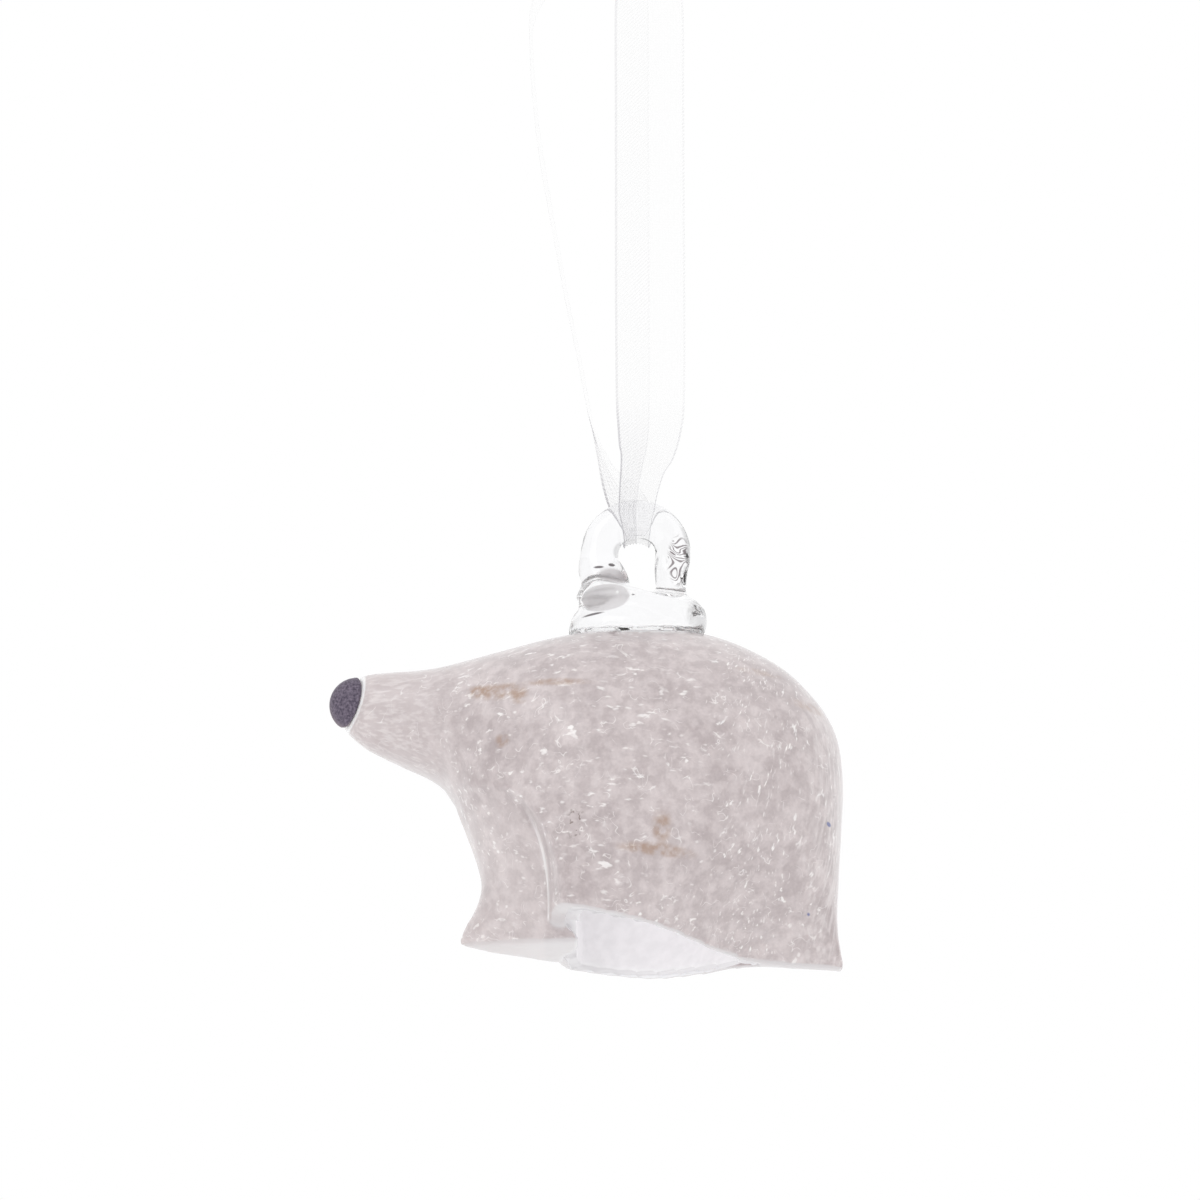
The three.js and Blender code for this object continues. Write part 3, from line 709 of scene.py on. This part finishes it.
# Stretch and scale of the streaks, and where along the bear they start and are full.
drawn_places = [((0.035, 1, 1), 2.0, -22, -38), ((1, 1, 0.1), 1.6, 19, 25.5)]
for stretch, scale, start, full in drawn_places:
    streaked = add_node(mottled, "Mapping", {"Vector": bear_mm, "Scale": stretch})
    streaks = add_node(mottled, "TexNoise", {"Vector": streaked, "Scale": scale, "Detail": 2})
    streaks = add_node(mottled, "MapRange", [streaks, 0.42, 0.68], **SMOOTHSTEP)
    where = add_node(mottled, "MapRange", [along_bear, start, full], **SMOOTHSTEP)
    streaks = add_node(mottled, "Math", [streaks, where], operation="MULTIPLY")
    colour = paint(colour, streaks, 0.36, "F4EFEE")
print("threads curl every", 1 / CURLS_PER_MM, "mm;", len(drawn_places), "places are streaked")

# %% [markdown]
# ## Stains and specks
# Brown stains, two blue specks and a little soot lie in certain places of the glass. Noise alone would put
# them anywhere, so each one is a soft ellipsoid at its own place, broken up by a ragged noise.


# %% Stains and specks
def spot(owner, place, centre, radii, soft):
    """1 inside an ellipsoid, fading out over the soft share of its radius."""
    offset = add_node(owner, "VectorMath", [place, centre], operation="SUBTRACT")
    scaled = add_node(owner, "VectorMath", [offset, radii], operation="DIVIDE")
    far = add_node(owner, "VectorMath", [scaled], 1, operation="LENGTH")
    return add_node(owner, "MapRange", [far, 1, 1 - soft], **SMOOTHSTEP)


ragged = add_node(mottled, "TexNoise", {"Vector": bear_mm, "Scale": 0.9, "Detail": 3})
ragged = add_node(mottled, "MapRange", [ragged, 0.26, 0.7], **SMOOTHSTEP)
# Centre, radii and strength of each brown stain.
stains = [
    ((-21.5, -13, 33), (5, 8, 1.7), 0.8),
    ((-24.2, -12, 33.3), (2.6, 8, 1.3), 0.85),
    ((-13.5, -15, 34), (6, 8, 0.8), 0.7),
    ((-18.6, -15, 32), (1.6, 8, 1.6), 0.85),
    ((-20.5, -15, 25.6), (1.3, 8, 1.3), 0.75),
    ((1.5, -20, 10.4), (6.6, 8, 1.2), 0.85),
    ((2, -20, 13.6), (1.7, 8, 3), 0.8),
    ((13.5, -10, 38.4), (4.5, 8, 0.8), 0.4),
    ((21, -9, 34.6), (4, 8, 1.1), 0.5),
]
for centre, radii, strength in stains:
    stain = spot(mottled, bear_mm, centre, radii, 0.6)
    stain = add_node(mottled, "Math", [stain, ragged], operation="MULTIPLY")
    colour = paint(colour, stain, strength, "AA8E7C")
blue_specks = [((24.6, -8, 18.3), 0.42), ((22.6, -8, 6.2), 0.36)]
for centre, size in blue_specks:
    colour = paint(colour, spot(mottled, bear_mm, centre, (size, 4, size), 0.5), 0.85, "4F5F9A")
sooty = add_node(mottled, "TexNoise", {"Vector": bear_mm, "Scale": 1.9, "Detail": 1})
sooty = add_node(mottled, "MapRange", [sooty, 0.58, 0.66], **SMOOTHSTEP)
soot = spot(mottled, bear_mm, (-9.6, -20, 13.4), (1.5, 8, 3.4), 0.7)
soot = add_node(mottled, "Math", [soot, sooty], operation="MULTIPLY")
colour = paint(colour, soot, 0.75, "75655C")
print(len(stains), "stains,", len(blue_specks), "blue specks and one patch of soot")

# %% [markdown]
# ## Ground soles, hollow and white places
# The soles were ground flat, so they are plain and pale, and the wall of the hollow is white. The casing
# could be cut into pieces with materials of their own, but the borders would be hard. Masks fade: the
# sole's from where the surface faces as the bear stands, the hollow's from a surface that faces the bear's
# middle. Round the foot of the clear lump ragged white is painted, a painted highlight that also lifts the
# shade there, and round the nose a ring is painted white.

# %% Ground soles and hollow
SOLE_FROM, SOLE_FULL = 4.6, 3.2
REAR_SOLE_FROM, REAR_SOLE_FULL = -20, -11
WHITE = "FFFFFF"

bear_normal = add_node(mottled, "TexCoord", output="Normal")
down = (-math.sin(HANG_TILT), 0, -math.cos(HANG_TILT))
faces_down = add_node(mottled, "VectorMath", [bear_normal, down], 1, operation="DOT_PRODUCT")
faces_down = add_node(mottled, "MapRange", [faces_down, 0.66, 0.88], **SMOOTHSTEP)
near_sole = add_node(mottled, "MapRange", [above_sole, SOLE_FROM, SOLE_FULL], **SMOOTHSTEP)
ground = add_node(mottled, "Math", [faces_down, near_sole], operation="MULTIPLY")
colour = paint(colour, ground, 0.75, "CBC5C6")
rear_sole = add_node(mottled, "MapRange", [along_bear, REAR_SOLE_FROM, REAR_SOLE_FULL], **SMOOTHSTEP)
rear_sole = add_node(mottled, "Math", [rear_sole, ground], operation="MULTIPLY")
colour = paint(colour, rear_sole, 0.7, "D8D4D6")

turned_x, turned_y, _ = add_node(mottled, "SeparateXYZ", [bear_normal]).node.outputs
inward = add_node(mottled, "Math", [turned_y, across_bear], operation="MULTIPLY")
inside = add_node(mottled, "MapRange", [inward, -0.5, -3], **SMOOTHSTEP)
colour = paint(colour, inside, 0.85, "F6F6F9")
heel_face = add_node(mottled, "MapRange", [turned_x, 0.1, 0.4], **SMOOTHSTEP)
heel_place = spot(mottled, bear_mm, (-9.5, 0, 1), (4, 20, 5.5), 0.3)
heel_face = add_node(mottled, "Math", [heel_face, heel_place], operation="MULTIPLY")
colour = paint(colour, heel_face, 0.85, "DCDADC")
# Painted highlight: ragged white round the foot of the clear lump, lifting the shade under it.
glints_under_pad = spot(mottled, bear_mm, (-3.4, 0, 45.5), (10.3, 10.3, 5), 0.1)
glints_under_pad = add_node(mottled, "Math", [glints_under_pad, ragged], operation="MULTIPLY")
colour = paint(colour, glints_under_pad, 0.9, WHITE)
round_nose = spot(mottled, bear_mm, (-42.6, -1, 33.4), (4.5, 4.5, 4.5), 0.1)
colour = paint(colour, round_nose, 0.9, WHITE)
print("the soles fade in from", SOLE_FROM, "to", SOLE_FULL, "mm above the ground")

# %% [markdown]
# ## The fold behind the leg
# The front leg was pressed in while hot, which left a fold: a bright line along it is a painted highlight,
# and a thin dark line beside it is painted shade. Lines could be modelled, but they are finer than the mesh.
# The leg's arch is half an ellipse on straight sides, so the distance from that arch says where the lines
# lie. Inside the arch the leg is painted a little lighter: painted light where its pressed-in form shades.

# %% Fold behind the leg
FOLD_HALF = 0.022
BESIDE_AT = 0.045

arch_x = add_node(mottled, "Math", [along_bear, ARCH_MIDDLE], operation="SUBTRACT")
arch_x = add_node(mottled, "Math", [arch_x, ARCH_REACH], operation="DIVIDE")
arch_z = add_node(mottled, "Math", [above_sole, ARCH_FOOT], operation="SUBTRACT")
arch_z = add_node(mottled, "Math", [arch_z, 0.0], operation="MAXIMUM")
arch_z = add_node(mottled, "Math", [arch_z, ARCH_RISE], operation="DIVIDE")
arch = add_node(mottled, "CombineXYZ", [arch_x, arch_z, 0.0])
arch = add_node(mottled, "VectorMath", [arch], 1, operation="LENGTH")
# Painted light: the leg inside the arch is made lighter where its pressed-in form shades.
leg = add_node(mottled, "MapRange", [arch, 1.0, 0.9], **SMOOTHSTEP)
colour = paint(colour, leg, 0.2, "EFE7E6")
crease_where = 1.0
for socket, start, full in ((along_bear, -18, -14), (above_sole, 18, 10), (above_sole, 2.2, 3.0)):
    part = add_node(mottled, "MapRange", [socket, start, full], **SMOOTHSTEP)
    crease_where = add_node(mottled, "Math", [crease_where, part], operation="MULTIPLY")
crease_at = add_node(mottled, "Math", [arch, 1.0], operation="SUBTRACT")
fold_highlight = add_node(mottled, "Math", [crease_at], operation="ABSOLUTE")
fold_highlight = add_node(mottled, "MapRange", [fold_highlight, FOLD_HALF, 0.008], **SMOOTHSTEP)
fold_highlight = add_node(mottled, "Math", [fold_highlight, crease_where], operation="MULTIPLY")
fold_shade_line = add_node(mottled, "Math", [crease_at, BESIDE_AT], operation="SUBTRACT")
fold_shade_line = add_node(mottled, "Math", [fold_shade_line], operation="ABSOLUTE")
fold_shade_line = add_node(mottled, "MapRange", [fold_shade_line, FOLD_HALF, 0.006], **SMOOTHSTEP)
fold_shade_line = add_node(mottled, "Math", [fold_shade_line, crease_where], operation="MULTIPLY")
# Painted highlight along the fold, and painted shade in a thin line beside it.
colour = paint(colour, fold_highlight, 0.75, "FFFDFD")
colour = paint(colour, fold_shade_line, 0.5, "A3979A")
print("the fold is", round(2 * FOLD_HALF * ARCH_REACH, 2), "mm wide at the leg's rear edge")

# %% [markdown]
# ## The casing's shader
# The casing is coloured glass under a clear skin. True glass with grains inside it would take very long to
# render. An opaque shader with some light under its surface, a coat and a little sheen is near enough,
# because the white layer behind stops the view anyway.

# %% Mottled glass shader
SWELLS_PER_MM = 0.3

swell = add_node(mottled, "TexNoise", {"Vector": bear_mm, "Scale": SWELLS_PER_MM, "Detail": 1})
uneven = add_node(mottled, "Bump", {"Strength": 0.25, "Distance": 0.3 * MM, "Height": swell})
gloss = add_node(mottled, "MapRange", [grains, 0, 1, 0.3, 0.42])
# To the eye: milky colour a little below a smooth skin, paler towards the edges of the form.
mottled_shader = add_node(
    mottled,
    "BsdfPrincipled",
    {
        "Base Color": colour,
        "Roughness": gloss,
        "Normal": uneven,
        "Subsurface Weight": 0.2,
        "Subsurface Radius": (1, 0.9, 0.85),
        "Subsurface Scale": 1.5 * MM,
        "Coat Weight": 0.6,
        "Coat Roughness": 0.06,
        "Sheen Weight": 0.25,
        "Sheen Roughness": 0.3,
    },
)
dress(mottled, mottled_shader, casing)

# %% [markdown]
# ## White opal glass
# The layer inside the bubble is opal glass, blown smooth. Light comes through the thin wall from all round.
# It could be traced through the wall with many samples. A little emission stands for it, weaker in front,
# where the solid glass of the leg stands before the wall. Where the ground lower edge faces down it is
# painted darker: painted shade that tones down its brightness.

# %% White opal glass
CLOUDS_PER_M = 700
EDGE_FROM, EDGE_FULL = -143.5 * MM, -145 * MM
LEG_END, BEHIND_LEG = -8.5 * MM, 3 * MM

opal = new_material("White opal glass")
opal_at = add_node(opal, "TexCoord", output="Object")
cloud = add_node(opal, "TexNoise", {"Vector": opal_at, "Scale": CLOUDS_PER_M, "Detail": 3})
cloud = add_node(opal, "MapRange", [cloud, 0.35, 0.65])
milk = add_node(opal, "Mix", {0: cloud, 6: linear("BBB9BA"), 7: linear("C6C4C5")}, 2, data_type="RGBA")
opal_down = add_node(opal, "SeparateXYZ", [add_node(opal, "TexCoord", output="Normal")], 2)
opal_down = add_node(opal, "MapRange", [opal_down, -0.5, -0.9], **SMOOTHSTEP)
opal_x, _, opal_low = add_node(opal, "SeparateXYZ", [opal_at]).node.outputs
opal_low = add_node(opal, "MapRange", [opal_low, EDGE_FROM, EDGE_FULL], **SMOOTHSTEP)
opal_edge_shade = add_node(opal, "Math", [opal_down, opal_low], operation="MULTIPLY")
# Painted shade: darker where the lower edge faces down.
milk = add_node(opal, "Mix", {0: opal_edge_shade, 6: milk, 7: linear("9E9B9D")}, 2, data_type="RGBA")
wall_light = add_node(opal, "MapRange", [opal_x, LEG_END, BEHIND_LEG, 0.33, 0.43], **SMOOTHSTEP)
# To the eye: an even, softly glowing white with hardly any shadow in it.
opal_shader = add_node(
    opal,
    "BsdfPrincipled",
    {
        "Base Color": milk,
        "Roughness": 0.35,
        "Coat Weight": 0.3,
        "Emission Color": linear("F7F5F8"),
        "Emission Strength": wall_light,
    },
)
dress(opal, opal_shader, lining)

# %% [markdown]
# ## Purple-black glass
# The nose is a dab of deep purple glass, nearly matt, with a bloom of fine paler grit. It could be true
# coloured glass, but so dark a dab lets no light through. An opaque shader with two purples in a fine noise
# is enough. Where its surface turns away from the front it is painted paler, a painted sheen round its rim.

# %% Purple-black glass
BLOOM_PER_M = 3000

dark = new_material("Purple-black glass")
dark_at = add_node(dark, "TexCoord", output="Object")
bloom = add_node(dark, "TexNoise", {"Vector": dark_at, "Scale": BLOOM_PER_M, "Detail": 3})
bloom = add_node(dark, "MapRange", [bloom, 0.35, 0.65])
purple = add_node(dark, "Mix", {0: bloom, 6: linear("4B4353"), 7: linear("7A7080")}, 2, data_type="RGBA")
# Painted sheen: paler where the nose's surface turns away from the front.
painted_rim_sheen = add_node(dark, "SeparateXYZ", [add_node(dark, "TexCoord", output="Normal")], 1)
painted_rim_sheen = add_node(dark, "MapRange", [painted_rim_sheen, -0.45, 0.1, 0.0, 0.6], **SMOOTHSTEP)
purple = add_node(dark, "Mix", {0: painted_rim_sheen, 6: purple, 7: linear("8E7E84")}, 2, data_type="RGBA")
# To the eye: a dull dark spot without a clear highlight, with a sheen at its rim that is partly painted.
dark_shader = add_node(
    dark,
    "BsdfPrincipled",
    {
        "Base Color": purple,
        "Roughness": 0.6,
        "Specular IOR Level": 0.25,
        "Sheen Weight": 0.12,
        "Sheen Roughness": 0.4,
    },
)
dress(dark, dark_shader, nose)

# %% [markdown]
# ## Clear glass
# The lump and loop are clear glass with faint cords in it, as glass that was gathered and folded has. The
# real folds bend the light so far that they look dark or smoky. To get each of them from the form alone,
# every fold would have to be known, so this bent light is painted as tints in the glass: painted refraction
# in a grey lobe, small dark marks in the front leg and swirls in the twisted rear leg, and one painted
# glint on the lobe.

# %% Cords and swirls
CORDS_PER_M = 350
SWIRLS_PER_M = 210
SWIRL_LINES = 75.0

clear = new_material("Clear glass")
clear_at = add_node(clear, "TexCoord", output="Object")
cords = add_node(clear, "TexNoise", {"Vector": clear_at, "Scale": CORDS_PER_M, "Detail": 1})
cords = add_node(clear, "Bump", {"Strength": 0.05, "Distance": 0.4 * MM, "Height": cords})
twists = {"Vector": clear_at, "Scale": SWIRLS_PER_M, "Detail": 1, "Distortion": 1.6}
refraction_swirl = add_node(clear, "TexNoise", twists)
refraction_swirl = add_node(clear, "Math", [refraction_swirl, SWIRL_LINES], operation="MULTIPLY")
refraction_swirl = add_node(clear, "Math", [refraction_swirl], operation="SINE")
refraction_swirl = add_node(clear, "MapRange", [refraction_swirl, -0.3, 0.7], **SMOOTHSTEP)
print("cords are", round(1000 / CORDS_PER_M, 1), "mm wide")

# %% Painted refraction and shader
SMOKE_ROUGHNESS = 0.42

# Centre and radii in millimetres, softness and colour of each painted place, and its pattern: a grey lobe, a
# painted glint, and dark marks and swirls of painted refraction.
painted_refraction_places = [
    ((-4.4, -7, -99), (3.8, 4, 2.2), 0.12, "CBC6C8", None),
    # A painted glint on the lobe.
    ((-2.7, -7, -98.5), (0.3, 4, 0.3), 0.5, "FFFFFF", None),
    ((-3.2, -3.4, -94.6), (2.9, 3.4, 1.5), 0.4, "BFB9BB", None),
    ((-3.5, -3, -92.9), (0.6, 3, 0.34), 0.4, "2E282A", None),
    ((-5.3, -3, -93.3), (0.9, 3, 0.24), 0.4, "3A3336", None),
    ((-6.2, -7, -101.3), (2.2, 4, 0.26), 0.5, "3A3336", None),
    ((6, -1.5, -92), (2.0, 4, 4.2), 0.3, "5A5053", refraction_swirl),
]
tint = linear("FDFDFE")
haze = 0.0
for centre, radii, soft, hex_colour, pattern in painted_refraction_places:
    painted_refraction = spot(clear, clear_at, Vector(centre) * MM, Vector(radii) * MM, soft)
    if pattern:
        painted_refraction = add_node(clear, "Math", [painted_refraction, pattern], operation="MULTIPLY")
    else:
        haze = add_node(clear, "Math", [haze, painted_refraction], operation="MAXIMUM")
    tint = add_node(clear, "Mix", {0: painted_refraction, 6: tint, 7: linear(hex_colour)}, 2, data_type="RGBA")
haze = add_node(clear, "Math", [haze, SMOKE_ROUGHNESS], operation="MULTIPLY")
# To the eye: nothing but bent lines of light and dark, and a few places of painted refraction.
clear_shader = add_node(
    clear,
    "BsdfPrincipled",
    {
        "Base Color": tint,
        "Roughness": haze,
        "IOR": 1.5,
        "Transmission Weight": 1.0,
        "Normal": cords,
    },
)
dress(clear, clear_shader, hanger)

# %% [markdown]
# ## Organza
# Fine stiff threads with more air than thread between them. Single threads could be modelled, but they
# would be millions of faces. Light passes between the threads, so alpha is the share that the threads
# cover. The selvedges are woven closer, and the left half has a slanting rib. A real thread is 0.1 mm from
# the next, too fine to show, so the weave is drawn at 0.42 mm.

# %% Threads and ribs
THREAD_PITCH = 0.42
RIB_PITCH = 0.6
TIED_BAND = (TIED_AT - 1, TIED_AT + 1, 0.5)

organza = new_material("White organza")
weave_uv = add_node(organza, "UVMap", uv_map="Weave")
across_ribbon, along_ribbon, _ = add_node(organza, "SeparateXYZ", [weave_uv]).node.outputs


def threads_of(place, pitch):
    """Threads across that direction: 1 on a thread and 0 between two."""
    wave = add_node(organza, "Math", [place, 2 * math.pi / pitch], operation="MULTIPLY")
    wave = add_node(organza, "Math", [wave], operation="SINE")
    return add_node(organza, "MapRange", [wave, -1, 1])


def band(start, end, soft):
    """1 between two places across the ribbon, in millimetres from its middle."""
    after = add_node(organza, "MapRange", [across_ribbon, start - soft, start], **SMOOTHSTEP)
    before = add_node(organza, "MapRange", [across_ribbon, end + soft, end], **SMOOTHSTEP)
    return add_node(organza, "Math", [after, before], operation="MULTIPLY")


warp_and_weft = [threads_of(across_ribbon, THREAD_PITCH), threads_of(along_ribbon, THREAD_PITCH)]
cover = add_node(organza, "Math", warp_and_weft, operation="MAXIMUM")
cover = add_node(organza, "MapRange", [cover, 0, 1, 0.01, 0.045])
slanting = add_node(organza, "Math", [across_ribbon, along_ribbon], operation="ADD")
ribs = threads_of(slanting, RIB_PITCH)
# Where each closer band lies, how soft its edges are, and how much it covers between and on its ribs.
closer_bands = [
    (-4.6, -0.2, 0.3, 0.03, 0.12),
    (-5.0, -4.7, 0.1, 0.3, 0.6),
    (-0.3, -0.1, 0.1, 0.08, 0.2),
    (4.75, 5.0, 0.1, 0.1, 0.3),
    (*TIED_BAND, 0.9, 1.0),
]
for start, end, soft, least, most in closer_bands:
    closer = add_node(organza, "MapRange", [ribs, 0, 1, least, most])
    closer = add_node(organza, "Math", [band(start, end, soft), closer], operation="MULTIPLY")
    cover = add_node(organza, "Math", [cover, closer], operation="MAXIMUM")
print("threads are drawn", THREAD_PITCH, "mm apart, ribs", RIB_PITCH, "mm")

# %% [markdown]
# ## Where the ribbon is gathered or tied
# Gathered cloth covers more, in the loop's eye and at the knot, and the knot itself is solid cloth. More
# pleats could do that, but a real gather has more than a mesh can hold, so the cover is raised. Where a
# look along the pleats passes six layers, the next one also counts as solid, so that it doesn't end in
# black.

# %% Gathers, knot and organza shader
GATHER_ENDS = (66, 78), (106, 96)
GATHERED_COVER = 3.2
TIED_ENDS = (3, 1), (ribbon_length - 5, ribbon_length - 2)
TIED_COVER = 0.7
MOST_LAYERS = 5.5

gather = [add_node(organza, "MapRange", [along_ribbon, *ends], **SMOOTHSTEP) for ends in GATHER_ENDS]
gather = add_node(organza, "Math", gather, operation="MULTIPLY")
gather = add_node(organza, "MapRange", [gather, 0, 1, 1, GATHERED_COVER])
cover = add_node(organza, "Math", [cover, gather], operation="MULTIPLY", use_clamp=True)
tied = [add_node(organza, "MapRange", [along_ribbon, *ends], **SMOOTHSTEP) for ends in TIED_ENDS]
tied = add_node(organza, "Math", tied, operation="MAXIMUM")
tied = add_node(organza, "Math", [tied, TIED_COVER], operation="MULTIPLY")
cover = add_node(organza, "Math", [cover, tied], operation="MAXIMUM")
layers = add_node(organza, "LightPath", output="Transparent Depth")
layers = add_node(organza, "Math", [layers, MOST_LAYERS], operation="GREATER_THAN")
cover = add_node(organza, "Math", [cover, layers], operation="MAXIMUM")
dense = add_node(organza, "Math", [tied, band(*TIED_BAND)], operation="MAXIMUM")
# Painted shade: the veil is painted grey, as white threads look when lit less than the white behind them;
# the tied, dense cloth keeps a paler white.
cloth_with_painted_shade = add_node(organza, "Mix", {0: dense, 6: linear("D9D8DB"), 7: linear("F4F3F5")}, 2, data_type="RGBA")
# To the eye: a thin white veil that shows by its edges and folds more than by its face.
organza_shader = add_node(
    organza, "BsdfPrincipled", {"Base Color": cloth_with_painted_shade, "Roughness": 0.55, "Alpha": cover}
)
dress(organza, organza_shader, ribbon, knot)

# %% [markdown]
# ## Light
# A white studio. What the camera sees past the ornament is plain white. Clear glass needs something darker
# to bend, so reflections and refractions see a bright background and ceiling, greyer walls and two grey
# cards on the left. Real walls and cards could stand round the ornament. A world that tells the directions
# apart does the same and puts nothing in the camera's way.

# %% World
OPEN_TONE = 0.97
WALL_TONE = 0.8

world = bpy.data.worlds.new("White studio")
bpy.context.scene.world = world
world.use_nodes = True
world.node_tree.nodes.clear()
ray = add_node(world, "LightPath").node.outputs
direction = add_node(world, "TexCoord", output="Generated")


def towards(way, start, full):
    """1 where the glass looks that way, from the cosine full up, and 0 below the cosine start."""
    cosine = add_node(world, "VectorMath", [direction, way], 1, operation="DOT_PRODUCT")
    return add_node(world, "MapRange", [cosine, start, full], **SMOOTHSTEP)


bright = [towards((0, 0.956, 0.294), 0.2, 0.6), towards((0, 0, 1), 0.35, 0.7)]
bright = add_node(world, "Math", bright, operation="MAXIMUM")
seen = add_node(world, "MapRange", [bright, 0, 1, WALL_TONE, 1.0])
# The way to each grey card, and the share of the light that it leaves.
grey_cards = [((-0.9, 0.35, 0.25), 0.75), ((-0.8, -0.6, 0), 0.45)]
for way, left in grey_cards:
    card = add_node(world, "MapRange", [towards(way, 0.8, 0.9), 0, 1, 1.0, left])
    seen = add_node(world, "Math", [seen, card], operation="MULTIPLY")
sharp = [ray["Is Glossy Ray"], ray["Is Transmission Ray"]]
sharp = add_node(world, "Math", sharp, operation="MAXIMUM")
shown = add_node(world, "Mix", {0: sharp, 2: OPEN_TONE, 3: seen}, data_type="FLOAT")
shown = add_node(world, "Math", [shown, ray["Is Camera Ray"]], operation="MAXIMUM")
studio = add_node(world, "Background", {"Color": shown, "Strength": 1.0})
add_node(world, "OutputWorld", {"Surface": studio})
print("world has", len(world.node_tree.nodes), "nodes")

# %% [markdown]
# ## The floor
# The ornament hangs high above a sheet of white paper, which closes the view from above. A curved backdrop
# would do the same. A flat sheet is enough, because the world behind it is as white as the paper.

# %% Floor
FLOOR_AT = -1.1
FLOOR_HALF = 10

floor_build = bmesh.new()
floor_place = Matrix.Translation((0, 0, FLOOR_AT))
bmesh.ops.create_grid(floor_build, x_segments=4, y_segments=4, size=FLOOR_HALF, matrix=floor_place)
floor = add_object("floor", to_mesh(floor_build, "floor"))
paper = new_material("White paper")
# To the eye: matt and as white as the world, so that no horizon shows.
paper_shader = add_node(
    paper,
    "BsdfPrincipled",
    {
        "Base Color": linear("F8F8F8"),
        "Roughness": 0.8,
        "Emission Color": linear("FFFFFF"),
        "Emission Strength": 0.08,
    },
)
dress(paper, paper_shader, floor)

# %% [markdown]
# ## The lamp
# The world alone would light the bear evenly from all sides and leave it flat. One soft panel in front,
# high on the left, gives the form a gentle turn. A small lamp would put hard highlights on the glass, which
# it doesn't have. Standard view keeps each colour about as it is written.

# %% Lamp
PANEL_SIZE = 0.5
PANEL_POWER = 0.7
PANEL_AT = (-0.45, -0.55, 0.35)
PANEL_AIM = (0, 0, -0.12)

lamp_data = bpy.data.lights.new("Soft panel", "AREA")
lamp_data.shape = "RECTANGLE"
lamp_data.size = PANEL_SIZE
lamp_data.size_y = PANEL_SIZE
lamp_data.energy = PANEL_POWER
lamp = add_object("Soft panel", lamp_data)
aim(lamp, PANEL_AT, PANEL_AIM)
bpy.context.scene.view_settings.view_transform = "Standard"
print("one soft panel of", PANEL_POWER, "W")
